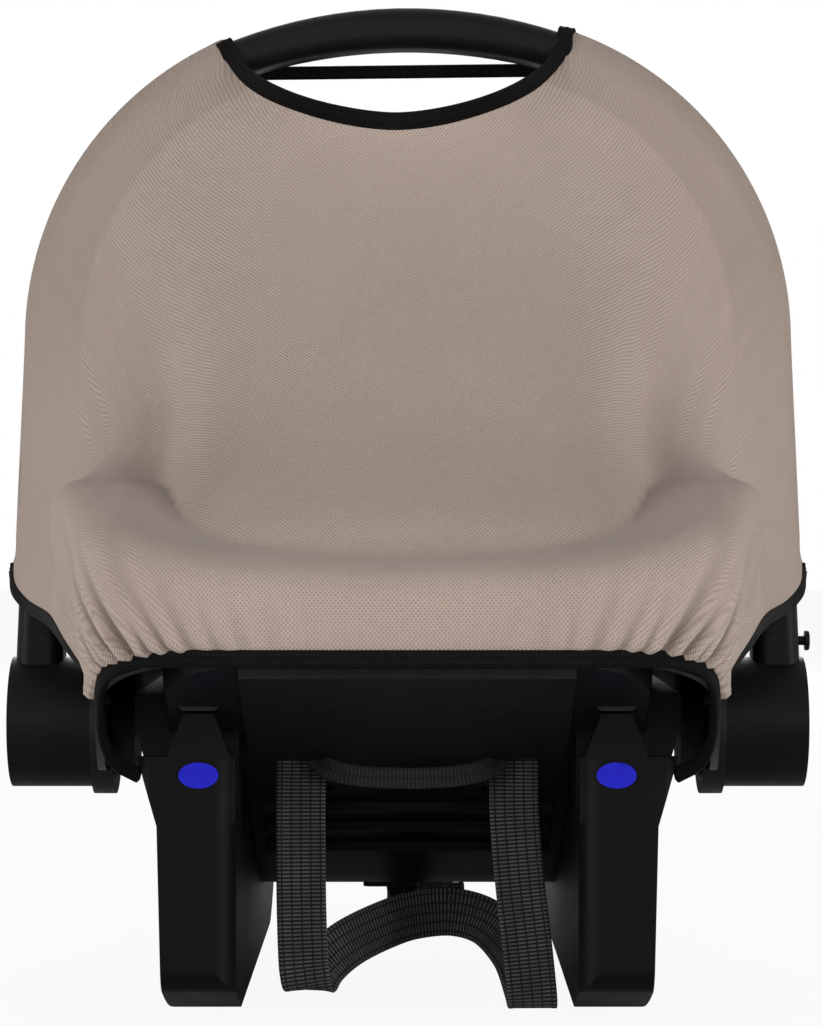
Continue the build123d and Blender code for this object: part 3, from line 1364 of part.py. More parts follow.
with BuildPart() as crotch_anchor:
    with Locations((0, CROTCH_Y, BELLY_Z - GAP)):
        Box(52, 24, ANCHOR_THICK, align=(Align.CENTER, Align.CENTER, Align.MAX))
    fillet(crotch_anchor.edges().filter_by(Axis.Z), 5)
    with Locations((0, CROTCH_Y, BELLY_Z)):
        Box(WEB_WIDTH + 2, 4, 20, mode=Mode.SUBTRACT)
crotch_anchor.part.label = "crotch_anchor"
export_step(crotch_anchor.part, "parts/crotch_anchor.step")

crotch_stations = [
    ((0, CROTCH_Y, BELLY_Z - GAP - ANCHOR_THICK - 3), FORWARD),
    ((0, CROTCH_Y, BELLY_Z + 18), FORWARD),
    ((0, CROTCH_Y, BELLY_Z + 37), FORWARD),
    ((0, CROTCH_Y - 2, BELLY_Z + 45), (0, 0.9, 0.4)),
    (buckle_spot(0, -BUCKLE_LENGTH / 2 - 2, 0), (0, 0.6, 0.8)),
    (buckle_spot(0, -BUCKLE_LENGTH / 2 + 8, 0), (0, 0.5, 0.87)),
]
crotch_web = ribbon(crotch_stations, WEB_WIDTH, WEB_THICK)

with BuildPart() as crotch_strap:
    add(crotch_web)
    with Locations((0, CROTCH_Y, BELLY_Z - GAP - ANCHOR_THICK - 0.2)):
        Box(WEB_WIDTH, 7, 4.5, align=(Align.CENTER, Align.CENTER, Align.MAX))
crotch_strap.part.label = "crotch_strap"
export_step(crotch_strap.part, "parts/crotch_strap.step")

RELEASE_UP = -8.0
RELEASE_TOP = BUCKLE_THICK / 2 + 1
WELL_FLOOR = -2.0

with BuildPart() as buckle_body:
    with BuildSketch(buckle_plane(0, 0, -BUCKLE_THICK / 2)):
        RectangleRounded(BUCKLE_WIDTH, BUCKLE_LENGTH, 9)
    extrude(amount=BUCKLE_THICK)
    fillet(buckle_body.faces().filter_by(buckle_plane(0, 0, 0)).edges(), 3.5)
    with Locations(buckle_plane(0, 0, 0)):
        for side in (-1, 1):
            with Locations((side * TONGUE_X, BUCKLE_LENGTH / 2 - TONGUE_INSERT - 2, TONGUE_OUT)):
                Box(
                    TONGUE_WIDTH + 2 * SLIDE,
                    FAR,
                    TONGUE_THICK + 2 * SLIDE,
                    align=(Align.CENTER, Align.MIN, Align.CENTER),
                    mode=Mode.SUBTRACT,
                )
        with Locations((0, -BUCKLE_LENGTH / 2 + 9.5, 0)):
            Box(WEB_WIDTH + 2, FAR, 3, align=(Align.CENTER, Align.MAX, Align.CENTER), mode=Mode.SUBTRACT)
        with Locations((0, RELEASE_UP, WELL_FLOOR)):
            Box(
                RELEASE_WIDTH + 2 * SLIDE,
                RELEASE_LENGTH + 2 * SLIDE,
                FAR,
                align=(Align.CENTER, Align.CENTER, Align.MIN),
                mode=Mode.SUBTRACT,
            )
buckle_body.part.label = "buckle_body"
export_step(buckle_body.part, "parts/buckle_body.step")

with BuildPart() as buckle_button:
    with Locations(buckle_plane(0, RELEASE_UP, RELEASE_TOP)):
        Box(RELEASE_WIDTH, RELEASE_LENGTH, RELEASE_DEPTH, align=(Align.CENTER, Align.CENTER, Align.MAX))
    fillet(buckle_button.faces().filter_by(buckle_plane(0, 0, 0)).sort_by(Axis.Z)[-1].edges(), 1.5)
buckle_button.part.label = "buckle_button"
export_step(buckle_button.part, "parts/buckle_button.step")

with BuildPart() as buckle_spring:
    with Locations(buckle_plane(0, RELEASE_UP, WELL_FLOOR + 0.02)):
        Cylinder(5, RELEASE_TOP - RELEASE_DEPTH - WELL_FLOOR - 0.04, align=(Align.CENTER, Align.CENTER, Align.MIN))
        Cylinder(4, FAR, mode=Mode.SUBTRACT)
buckle_spring.part.label = "buckle_spring"
export_step(buckle_spring.part, "parts/buckle_spring.step")


def tongue(side):
    """Plate that latches in the buckle, with its moulded head round the strap end."""
    tip = BUCKLE_LENGTH / 2 - TONGUE_INSERT
    head = BUCKLE_LENGTH / 2 + GAP
    with BuildPart() as piece:
        with BuildSketch(buckle_plane(side * TONGUE_HEAD_X, head, TONGUE_OUT - TONGUE_HEAD_THICK / 2)):
            with Locations((0, TONGUE_HEAD_LENGTH / 2)):
                RectangleRounded(TONGUE_HEAD_WIDTH, TONGUE_HEAD_LENGTH, 5)
        extrude(amount=TONGUE_HEAD_THICK)
        fillet(piece.faces().filter_by(buckle_plane(0, 0, 0)).edges(), 2.5)
        with Locations(buckle_plane(0, 0, 0)):
            with Locations((-side * TONGUE_X, tip, TONGUE_OUT)):
                Box(TONGUE_WIDTH, TONGUE_INSERT + 8, TONGUE_THICK, align=(Align.CENTER, Align.MIN, Align.CENTER))
            with Locations((-side * TONGUE_X, tip + 7, TONGUE_OUT)):
                Box(9, 5, 20, mode=Mode.SUBTRACT)
            with Locations((-side * TONGUE_HEAD_X, head + TONGUE_HEAD_LENGTH * 0.45, TONGUE_OUT)):
                Box(WEB_WIDTH + 1.6, FAR, 3, align=(Align.CENTER, Align.MIN, Align.CENTER), mode=Mode.SUBTRACT)
    return piece.part


with BuildPart() as left_tongue:
    add(tongue(-1))
left_tongue.part.label = "left_tongue"
export_step(left_tongue.part, "parts/left_tongue.step")

with BuildPart() as right_tongue:
    add(tongue(1))
right_tongue.part.label = "right_tongue"
export_step(right_tongue.part, "parts/right_tongue.step")

CROTCH_PAD_THICK = 7.0

with BuildPart() as crotch_pad:
    with BuildSketch(buckle_plane(0, 12, -BUCKLE_THICK / 2 - 0.5)):
        RectangleRounded(50, 40, 10)
    extrude(amount=-CROTCH_PAD_THICK)
    fillet(crotch_pad.faces().filter_by(buckle_plane(0, 0, 0)).edges(), 2.5)
crotch_pad.part.label = "crotch_pad"
export_step(crotch_pad.part, "parts/crotch_pad.step")
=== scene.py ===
import math

import bmesh
import bpy
import numpy as np
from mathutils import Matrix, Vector


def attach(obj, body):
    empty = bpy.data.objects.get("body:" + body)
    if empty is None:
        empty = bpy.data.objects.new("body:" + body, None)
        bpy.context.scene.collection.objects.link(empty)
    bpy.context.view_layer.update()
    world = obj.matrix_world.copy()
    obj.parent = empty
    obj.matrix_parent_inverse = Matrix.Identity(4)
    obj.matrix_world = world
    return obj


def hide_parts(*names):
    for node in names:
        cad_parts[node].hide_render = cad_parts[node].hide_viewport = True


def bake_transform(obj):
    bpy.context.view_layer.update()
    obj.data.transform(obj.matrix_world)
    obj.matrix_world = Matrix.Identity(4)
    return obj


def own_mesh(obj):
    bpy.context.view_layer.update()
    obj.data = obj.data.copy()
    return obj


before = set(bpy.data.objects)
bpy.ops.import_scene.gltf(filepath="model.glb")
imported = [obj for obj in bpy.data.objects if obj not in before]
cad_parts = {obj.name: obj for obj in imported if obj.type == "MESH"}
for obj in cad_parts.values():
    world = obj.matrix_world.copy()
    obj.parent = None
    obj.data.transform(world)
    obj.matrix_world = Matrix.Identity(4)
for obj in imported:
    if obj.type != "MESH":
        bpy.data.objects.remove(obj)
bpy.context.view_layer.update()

MM = 0.001

# Sizes shared with the solids, in millimetres
HEAD_END = -322.0
HEAD_HALF = 146.0
HEAD_CORNER = 75.0
RIM_HALF = 166.0
TAPER_END = -65.0  # the rim widens from the head end to here
CORNER_TURN = 1.081  # tangent of half the angle between the rim's side and its head end
CORNER_MIDDLE_X = HEAD_HALF - HEAD_CORNER / CORNER_TURN
CORNER_MIDDLE_Y = HEAD_END + HEAD_CORNER
RIM_CREST = [(-334, 217), (-282, 232), (-110, 265), (80, 222), (338, 196)]
ARCH_X = 31.0
ARCH_Z = 352.0
ARCH_RADIUS = 178.5
FLAP_REACH = 146.0  # the front flap doubles the cloth beyond this distance from the corner arcs' centre; the knit is painted in shade there
ARM_FOOT = 218.5
HUB_Z = 140.0
WEB_WIDTH = 25.0
WEB_THICK = 1.6


# Shaders
class Wire:
    """A shader socket that can be used in sums."""

    def __init__(self, finish, socket):
        self.finish = finish
        self.socket = socket

    def maths(self, operation, first, second=0.0):
        return self.finish.node("ShaderNodeMath", {"operation": operation}, {0: first, 1: second})

    def __add__(self, other):
        return self.maths("ADD", self, other)

    __radd__ = __add__

    def __mul__(self, other):
        return self.maths("MULTIPLY", self, other)

    __rmul__ = __mul__

    def __sub__(self, other):
        return self.maths("SUBTRACT", self, other)

    def __rsub__(self, other):
        return self.maths("SUBTRACT", other, self)

    def __truediv__(self, other):
        return self.maths("DIVIDE", self, other)

    def __pow__(self, other):
        return self.maths("POWER", self, other)

    def cosine(self):
        return self.maths("COSINE", self)

    def size(self):
        return self.maths("ABSOLUTE", self)

    def step(self, low, high):
        """Smooth rise from 0 at low to 1 at high."""
        return self.finish.node(
            "ShaderNodeMapRange",
            {"interpolation_type": "SMOOTHSTEP"},
            {"Value": self, "From Min": low, "From Max": high},
        )


class Finish:
    """One procedural material on a Principled shader."""

    def __init__(self, name, **constants):
        self.material = bpy.data.materials.new(name)
        self.material.use_nodes = True
        self.tree = self.material.node_tree
        self.shader = self.tree.nodes["Principled BSDF"]
        for socket, value in constants.items():
            self.shader.inputs[socket.replace("_", " ")].default_value = value

    def node(self, kind, settings=None, inputs=None, output=0):
        """A shader node with its settings, and values or links for its sockets."""
        made = self.tree.nodes.new(kind)
        for key, value in (settings or {}).items():
            setattr(made, key, value)
        for key, value in (inputs or {}).items():
            if isinstance(value, Wire):
                self.tree.links.new(value.socket, made.inputs[key])
            else:
                made.inputs[key].default_value = value
        return Wire(self, made.outputs[output])

    def split(self, vector):
        """The three parts of a vector."""
        made = self.tree.nodes.new("ShaderNodeSeparateXYZ")
        self.tree.links.new(vector.socket, made.inputs[0])
        return [Wire(self, made.outputs[i]) for i in range(3)]

    def place(self):
        """Object coordinates."""
        return self.node("ShaderNodeTexCoord", output="Object")

    def cloth_place(self):
        """Distances along the cloth, in millimetres."""
        return self.split(self.node("ShaderNodeUVMap", {"uv_map": "weave"}))

    def noise(self, scale, detail):
        """Noise from 0 to 1 with features of 1/scale metres."""
        return self.node(
            "ShaderNodeTexNoise",
            None,
            {"Vector": self.place(), "Scale": scale, "Detail": detail},
        )

    def blend(self, share, first, second):
        """Colour between two colours."""
        return self.node(
            "ShaderNodeMix",
            {"data_type": "RGBA"},
            {0: share, 6: first, 7: second},
            output=2,
        )

    def bump(self, height, distance, strength, below=None):
        """Normal for a height, laid over the bump below it."""
        inputs = {"Height": height, "Distance": distance, "Strength": strength}
        if below is not None:
            inputs["Normal"] = below
        return self.node("ShaderNodeBump", None, inputs)

    def feed(self, **wires):
        """Links wires to the shader's sockets and gives the material."""
        for socket, wire in wires.items():
            self.tree.links.new(wire.socket, self.shader.inputs[socket.replace("_", " ")])
        return self.material


def tone(red, green, blue):
    return (red, green, blue, 1.0)


TURN = 2 * math.pi


def knit_finish():
    """Stretch mesh knit of the canopy, with painted shade where the front flap doubles it, above the rim's
    crest and between the hem's folds.
    """
    f = Finish(
        "canopy_knit", Roughness=0.86, Sheen_Weight=0.12, Sheen_Roughness=0.5, Specular_IOR_Level=0.2
    )
    across, along, _ = f.cloth_place()
    one = ((across / 2.0 + along / 2.5) * TURN).cosine()
    two = ((across / 2.0 - along / 2.5) * TURN).cosine()
    lattice = one + two
    hole = lattice.step(0.35, 1.7)
    yarn = ((along / 1.25) * TURN).cosine()
    cloud = f.noise(9.0, 4.0)
    grain = f.noise(900.0, 2.0)
    x, y, z = f.split(f.place())
    above = z.maths("MAXIMUM", z - ARCH_Z * MM, 0.0)
    reach = ((x.size() - ARCH_X * MM) ** 2.0 + above ** 2.0) ** 0.5
    # Painted shade where the front flap doubles the cloth and lets less light through
    flap_shade = (reach - FLAP_REACH * MM).step(-0.0015, 0.0015) * z.step(0.285, 0.40) * y.step(-0.30, -0.16)
    warm = f.blend(cloud.step(0.3, 0.7), tone(0.440, 0.347, 0.292), tone(0.405, 0.317, 0.265))
    holed = f.blend(hole * 0.72, warm, tone(0.13, 0.102, 0.088))
    # Painted shade in the hollow just above the rim's crest, in the middle of the head end
    low = z.step(0.218, 0.240) * (1 - z.step(0.26, 0.36))
    valley_shade = low * (1 - x.size().step(0.09, 0.16)) * (1 - y.step(-0.24, -0.15))
    holed = f.blend(valley_shade * 0.22, holed, tone(0.23, 0.175, 0.145))
    speck = f.blend(grain.step(0.35, 0.75) * 0.12, holed, tone(0.5, 0.43, 0.39))
    # Painted shade of the doubled cloth
    colour = f.blend(flap_shade * 0.36, speck, tone(0.275, 0.215, 0.178))
    height = yarn * 0.15 - lattice * 0.5 + grain * 0.3
    # Painted shade between the hem's folds, read from a point attribute of the sheet
    fold_shade = f.node("ShaderNodeAttribute", {"attribute_name": "fold_shade"}, output="Fac")
    colour = f.blend(fold_shade * 0.8, colour, tone(0.11, 0.08, 0.065))
    return f.feed(Base_Color=colour, Normal=f.bump(height, 0.0005, 0.5))


def webbing_finish(name, colour, thread):
    """Ribbed webbing: rows of short dashes between long ribs."""
    f = Finish(name, Roughness=0.7, Sheen_Weight=0.05, Specular_IOR_Level=0.25)
    across, along, _ = f.cloth_place()
    rung = ((along / 1.95) * TURN).cosine().step(-0.2, 0.5)
    rail = (((across + 2.45) / 4.9) * TURN).cosine().step(-0.98, -0.72)
    twill = (((across + along * 0.6) / 0.8) * TURN).cosine()
    dash = rung * rail
    wear = f.noise(60.0, 3.0).step(0.3, 0.75)
    shade = f.blend(dash * (0.55 + wear * 0.35), colour, thread)
    height = dash + twill * 0.18
    return f.feed(Base_Color=shade, Normal=f.bump(height, 0.0006, 0.8), Roughness=0.82 - dash * 0.25)


def binding_finish():
    """Black elastic binding, fine ribs across it and rows of stitches."""
    f = Finish("elastic_binding", Roughness=0.62, Specular_IOR_Level=0.05)
    across, along, _ = f.cloth_place()
    rib = ((along / 0.9) * TURN).cosine()
    row = 1 - (across.size() - 2.1).size().step(0.25, 0.55)
    stitch = ((along / 3.2) * TURN).cosine().step(0.1, 0.5) * row
    fluff = f.noise(400.0, 3.0)
    shade = f.blend(stitch * 0.5 + fluff * 0.25, tone(0.0022, 0.002, 0.002), tone(0.011, 0.0105, 0.011))
    height = rib * 0.35 + stitch * 0.8 + fluff * 0.4
    return f.feed(Base_Color=shade, Normal=f.bump(height, 0.0004, 0.7), Roughness=0.5 + fluff * 0.3)


def moulded_finish(name, colour, rough, grain_scale, grain_depth, level):
    """Moulded plastic: spark-eroded grain, faint handling marks, worn lighter here and there."""
    f = Finish(name, Specular_IOR_Level=level)
    grain = f.noise(grain_scale, 3.0)
    cloud = f.noise(14.0, 4.0)
    scuff = f.noise(55.0, 6.0).step(0.56, 0.78)
    light = tuple(min(1.0, c * 1.6 + 0.002) for c in colour)
    shade = f.blend(cloud.step(0.3, 0.8) * 0.5 + scuff * 0.18, tone(*colour), tone(*light))
    roughness = rough + cloud * 0.12 - scuff * 0.06 + grain * 0.05
    return f.feed(Base_Color=shade, Roughness=roughness, Normal=f.bump(grain, grain_depth, 0.5))


def shell_finish():
    """Black moulded shell with the round witness marks of its ejector pins on the upper back."""
    f = Finish("shell_moulding", Specular_IOR_Level=0.22)
    grain = f.noise(1500.0, 2.0)
    cloud = f.noise(12.0, 4.0)
    scuff = f.noise(48.0, 6.0).step(0.58, 0.8)
    x, y, z = f.split(f.place())
    reach = ((x.size() - 0.0445) ** 2.0 + (y + 0.246) ** 2.0) ** 0.5
    ring = 1 - (reach - 0.0068).size().step(0.0003, 0.0009)
    worn = cloud.step(0.3, 0.8) * 0.45 + scuff * 0.2
    shade = f.blend(worn, tone(0.0030, 0.0030, 0.0029), tone(0.0062, 0.0062, 0.006))
    roughness = 0.44 + cloud * 0.14 - scuff * 0.05 - ring * 0.12
    grained = f.bump(grain, 0.00012, 0.5)
    return f.feed(Base_Color=shade, Roughness=roughness, Normal=f.bump(ring, 0.0004, 0.9, grained))


def foam_finish():
    """White bead foam: each bead a shallow bump."""
    f = Finish("bead_foam", Roughness=0.75)
    beads = f.node("ShaderNodeTexVoronoi", {"feature": "F1"}, {"Vector": f.place(), "Scale": 330.0})
    shade = f.blend(beads.step(0.25, 0.8), tone(0.86, 0.86, 0.85), tone(0.66, 0.66, 0.65))
    return f.feed(Base_Color=shade, Normal=f.bump(1 - beads, 0.0008, 0.6))


def liner_finish(name, colour, deep, pitch):
    """Soft knit of the liner: fine ribs with a little melange."""
    f = Finish(name, Roughness=0.9, Sheen_Weight=0.35, Sheen_Roughness=0.45, Specular_IOR_Level=0.2)
    x, y, z = f.split(f.place())
    wale = ((x / pitch) * TURN).cosine()
    course = (((y + z) / (pitch * 1.3)) * TURN).cosine()
    cloud = f.noise(11.0, 4.0)
    grain = f.noise(1100.0, 2.0)
    loop = (wale + course).step(-1.2, 1.4)
    shade = f.blend(loop * 0.6 + grain * 0.3, tone(*deep), tone(*colour))
    tinted = f.blend(cloud.step(0.35, 0.7) * 0.25, shade, tone(*deep))
    return f.feed(Base_Color=tinted, Normal=f.bump(loop + grain * 0.4, 0.0005, 0.18))


def steel_finish():
    """Zinc plated steel with turning marks."""
    f = Finish("plated_steel", Metallic=1.0)
    turned = f.noise(700.0, 2.0)
    cloud = f.noise(40.0, 3.0)
    shade = f.blend(cloud, tone(0.5, 0.5, 0.51), tone(0.66, 0.66, 0.64))
    return f.feed(Base_Color=shade, Roughness=0.28 + turned * 0.2, Normal=f.bump(turned, 0.00005, 0.4))


def mark_finish():
    """Printed blue belt mark: flat ink with a slightly uneven edge of gloss."""
    f = Finish("belt_mark_ink", Specular_IOR_Level=0.12)
    cloud = f.noise(160.0, 3.0)
    shade = f.blend(cloud.step(0.3, 0.8), tone(0.013, 0.013, 0.46), tone(0.010, 0.010, 0.39))
    return f.feed(Base_Color=shade, Roughness=0.42 + cloud * 0.2, Normal=f.bump(cloud, 0.00006, 0.4))


KNIT = knit_finish()
WEBBING = webbing_finish("harness_weave", tone(0.0055, 0.0055, 0.006), tone(0.105, 0.108, 0.115))
TETHER = webbing_finish("tether_weave", tone(0.006, 0.006, 0.0065), tone(0.022, 0.022, 0.024))
BINDING = binding_finish()
SHELL = shell_finish()
RUNNER = moulded_finish("runner_moulding", (0.0022, 0.0022, 0.0022), 0.42, 1500.0, 0.00012, 0.07)
HANDLE = moulded_finish("handle_moulding", (0.0052, 0.0051, 0.0054), 0.36, 2200.0, 0.00006, 0.08)
NYLON = moulded_finish("grey_nylon", (0.16, 0.16, 0.165), 0.42, 1800.0, 0.00006, 0.4)
RED = moulded_finish("release_red", (0.42, 0.012, 0.010), 0.22, 2500.0, 0.00003, 0.5)
FOAM = foam_finish()
LINER = liner_finish("liner_knit", (0.36, 0.30, 0.262), (0.295, 0.244, 0.211), 0.0024)
INSERT = liner_finish("insert_knit", (0.44, 0.39, 0.35), (0.365, 0.322, 0.288), 0.0028)
PAD = liner_finish("pad_knit", (0.05, 0.049, 0.05), (0.018, 0.0175, 0.018), 0.0015)
STEEL = steel_finish()
BLACKENED = moulded_finish("blackened_steel", (0.006, 0.006, 0.0065), 0.45, 900.0, 0.00005, 0.3)
BLUE = mark_finish()

for material, nodes in (
    (SHELL, ["seat_shell"]),
    (RUNNER, ["left_runner", "right_runner", "adjuster_housing", "buckle_body"]),
    (RUNNER, ["left_tongue", "right_tongue"]),
    (HANDLE, ["handle_outer", "handle_inner", "canopy_peg", "left_hub_cap", "right_hub_cap"]),
    (HANDLE, ["left_handle_button", "right_handle_button"]),
    (NYLON, ["left_lock_gear", "right_lock_gear", "adjuster_button"]),
    (RED, ["buckle_button"]),
    (BLUE, ["rear_belt_marks", "lap_belt_marks"]),
    (FOAM, ["foam_base"]),
    (STEEL, ["runner_screws", "hub_bolts", "hub_nuts", "buckle_spring", "adjuster_spring"]),
    (STEEL, ["left_button_spring", "right_button_spring"]),
    (BLACKENED, ["crotch_anchor"]),
):
    for node in nodes:
        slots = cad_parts[node].data.materials
        slots.clear()
        slots.append(material)


# Mesh helpers
def placed(name, data):
    """An object with its mesh, lamp or lens, put in the scene."""
    made = bpy.data.objects.new(name, data)
    bpy.context.scene.collection.objects.link(made)
    return made


def new_piece(name, points, faces, weave, material):
    """Smooth mesh at the origin from points in millimetres, with each point's place along the cloth."""
    mesh = bpy.data.meshes.new(name)
    mesh.from_pydata((np.asarray(points) * MM).tolist(), [], faces)
    corners = np.zeros(len(mesh.loops), dtype=int)
    mesh.loops.foreach_get("vertex_index", corners)
    layer = mesh.uv_layers.new(name="weave")
    layer.data.foreach_set("uv", np.asarray(weave, dtype=float)[corners].ravel())
    mesh.polygons.foreach_set("use_smooth", [True] * len(mesh.polygons))
    mesh.materials.append(material)
    return placed(name, mesh)


def smooth_through(points, step):
    """Points of a smooth line through the given points, about a step apart."""
    points = np.asarray(points, dtype=float)
    padded = np.vstack([2 * points[0] - points[1], points, 2 * points[-1] - points[-2]])
    line = []
    for a, b, c, d in zip(padded, padded[1:], padded[2:], padded[3:]):
        count = max(2, int(np.linalg.norm((c - b)[:3]) / step) + 1)
        for t in np.linspace(0, 1, count, endpoint=False):
            square = (2 * a - 5 * b + 4 * c - d) * t**2
            cube = (3 * b - a - 3 * c + d) * t**3
            line.append(0.5 * (2 * b + (c - a) * t + square + cube))
    line.append(points[-1])
    return np.array(line)


def unit(vectors):
    return vectors / np.maximum(np.linalg.norm(vectors, axis=-1, keepdims=True), 1e-9)


def distance_along(line):
    return np.concatenate([[0], np.cumsum(np.linalg.norm(np.diff(line, axis=0), axis=1))])


def even(line, count):
    """The same line as evenly spaced points."""
    along = distance_along(line)
    marks = np.linspace(0, along[-1], count)
    return np.stack([np.interp(marks, along, line[:, i]) for i in range(line.shape[1])], axis=1)


def swept(name, line, faces_to, section, material):
    """A band along a line, its section given as points beside the line and out along faces_to."""
    line = np.asarray(line, dtype=float)
    tangent = unit(np.gradient(line, axis=0))
    beside = unit(np.cross(tangent, faces_to))
    out = np.cross(beside, tangent)
    count = len(section)
    points, weave, faces = [], [], []
    along = distance_along(line)
    for i, spot in enumerate(line):
        for across, lift in section:
            points.append(spot + beside[i] * across + out[i] * lift)
            weave.append((across, along[i]))
    for i in range(len(line) - 1):
        for k in range(count):
            a, b = i * count + k, i * count + (k + 1) % count
            faces.append((a, b, b + count, a + count))
    faces.append(tuple(range(count))[::-1])
    faces.append(tuple(range((len(line) - 1) * count, len(line) * count)))
    piece = new_piece(name, points, faces, weave, material)
    outward(piece)
    return piece


def outward(piece, merge=0.0):
    """Joins points that lie within the merge, in millimetres, and turns all faces outwards."""
    shape = bmesh.new()
    shape.from_mesh(piece.data)
    if merge:
        bmesh.ops.remove_doubles(shape, verts=shape.verts, dist=merge * MM)
    bmesh.ops.recalc_face_normals(shape, faces=shape.faces)
    shape.to_mesh(piece.data)
    shape.free()


def rise(values, start, length):
    """Straight rise from 0 at the start to 1 a length farther on."""
    return np.clip((values - start) / length, 0, 1)


def bell(values, middle, width):
    return np.exp(-(((values - middle) / width) ** 2))


def points_of(mesh):
    """Points of a mesh in millimetres."""
    flat = np.zeros(len(mesh.vertices) * 3)
    mesh.vertices.foreach_get("co", flat)
    return flat.reshape(-1, 3) / MM


def move_points(piece, points):
    piece.data.vertices.foreach_set("co", (points * MM).ravel())
    piece.data.update()


def select_only(piece):
    bpy.ops.object.select_all(action="DESELECT")
    bpy.context.view_layer.objects.active = piece
    piece.select_set(True)


def apply_modifier(piece, name, kind, **settings):
    """One modifier added to the selected piece and applied."""
    made = piece.modifiers.new(name, kind)
    for key, value in settings.items():
        setattr(made, key, value)
    bpy.ops.object.modifier_apply(modifier=name)


def node_copy(node, name):
    """Copy of a CAD node's mesh, selected, with its loose triangles merged."""
    piece = placed(name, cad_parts[node].data.copy())
    select_only(piece)
    bpy.ops.object.mode_set(mode="EDIT")
    bpy.ops.mesh.select_all(action="SELECT")
    bpy.ops.mesh.remove_doubles(threshold=0.00002)
    bpy.ops.object.mode_set(mode="OBJECT")
    return piece


# Canopy
CLOTH_OUT = 1.5  # cloth in front of the handle's own face
HEM_ARM_Z = 225.0
OPEN_LEFT = -99.0
OPEN_RIGHT = 86.5
OPEN_LOW = 467.0  # lowest place of the hand opening's edge
OPEN_BACK = 61.0  # how far that place lies behind the crest line
OPEN_ROUND = 0.88
CREST_Y = -13.0  # line on the handle where the back of the sheet begins
COLUMNS = 57
ROWS = 72
SETTLING_ROUNDS = 1600
SETTLING_STEP = 0.85
WING_Y = -178.0  # widest place of the padded rim's wings
WING_SPREAD = 58.0
WING_SWELL = 17.0
RIM_SWELL = 3.0
SKIRT_CLEAR = 2.0
TUCK_TOP = 12.0  # this far below the crest the cloth begins to draw in to the skirt
TUCK_LENGTH = 50.0
CORNER_LIFT = 10.0  # the head end's corners stand higher than the rim
CORNER_X = 140.0
CORNER_Y = -130.0
CORNER_LENGTH = 70.0
RIM_PAD = 7.0
RIM_ROUND = 14.0
HOLLOW_NEAR = 6.0  # sag just inside the rim, and a wider one towards the sides
HOLLOW_WIDE = 12.0
CLOTH_THICK = 0.9
SIDE_HEM = [
    (218.4, -13, 225),
    (216, -25, 214),
    (205, -50, 205),
    (188, -105, 199.5),
    (173, -170, 189.5),
    (157, -215, 173.5),
    (148, -257, 164),
]
HEAD_HEM = [
    (148, -257, 164),
    (147, -272, 170),
    (141.6, -288, 180),
    (128.8, -303, 187.5),
    (107.8, -316, 189.5),
    (76, -324.3, 189.5),
    (0, -326, 189.5),
]


def arm_x(z):
    """Outer face of the covered arm at a height."""
    top = ARCH_X + ARCH_RADIUS + CLOTH_OUT
    return top + (ARM_FOOT + CLOTH_OUT - top) * (ARCH_Z - z) / (ARCH_Z - HUB_Z)


def arch_line(side, end_x):
    """Covered arm and corner arc from the side hem to the hand opening, as x and z."""
    radius = ARCH_RADIUS + CLOTH_OUT
    arm = [(side * arm_x(z), z) for z in np.linspace(HEM_ARM_Z, ARCH_Z, 24, endpoint=False)]
    last = math.acos((end_x - ARCH_X) / radius)
    arc = [
        (side * (ARCH_X + radius * math.cos(turn)), ARCH_Z + radius * math.sin(turn))
        for turn in np.linspace(0, last, 40)
    ]
    return np.array(arm + arc)


def opening_line():
    """Near edge of the hand opening from its left end to its right end."""
    middle = (OPEN_LEFT + OPEN_RIGHT) / 2
    half = (OPEN_RIGHT - OPEN_LEFT) / 2
    radius = ARCH_RADIUS + CLOTH_OUT
    spots = []
    for turn in np.linspace(-math.pi / 2, math.pi / 2, 61):
        x = middle + half * math.sin(turn)
        end_x = OPEN_RIGHT if turn > 0 else -OPEN_LEFT
        end_z = ARCH_Z + math.sqrt(radius**2 - (end_x - ARCH_X) ** 2)
        share = abs(math.sin(turn))
        z = OPEN_LOW + (end_z - OPEN_LOW) * (1 - math.cos(turn)) ** OPEN_ROUND
        spots.append((x, CREST_Y - OPEN_BACK * (1 - share**3), z))
    return np.array(spots)


crest_spots = smooth_through(RIM_CREST, 4)


def rim_plan(x, y):
    """Distance outside the rim seen from above, and the way out."""
    side = np.interp(y, [HEAD_END, TAPER_END], [HEAD_HALF, RIM_HALF])
    flat = np.stack([np.sign(x), np.zeros_like(x)], axis=-1)
    gap = np.abs(x) - side
    head = (y < CORNER_MIDDLE_Y) & (np.abs(x) <= CORNER_MIDDLE_X)
    gap = np.where(head, HEAD_END - y, gap)
    flat = np.where(head[..., None], np.array([0.0, -1.0]), flat)
    corner = (y < CORNER_MIDDLE_Y) & (np.abs(x) > CORNER_MIDDLE_X)
    reach = np.hypot(np.abs(x) - CORNER_MIDDLE_X, y - CORNER_MIDDLE_Y)
    gap = np.where(corner, reach - HEAD_CORNER, gap)
    radial = np.stack([np.sign(x) * (np.abs(x) - CORNER_MIDDLE_X), y - CORNER_MIDDLE_Y], axis=-1)
    radial = radial / np.maximum(reach, 1e-6)[..., None]
    return gap, np.where(corner[..., None], radial, flat)


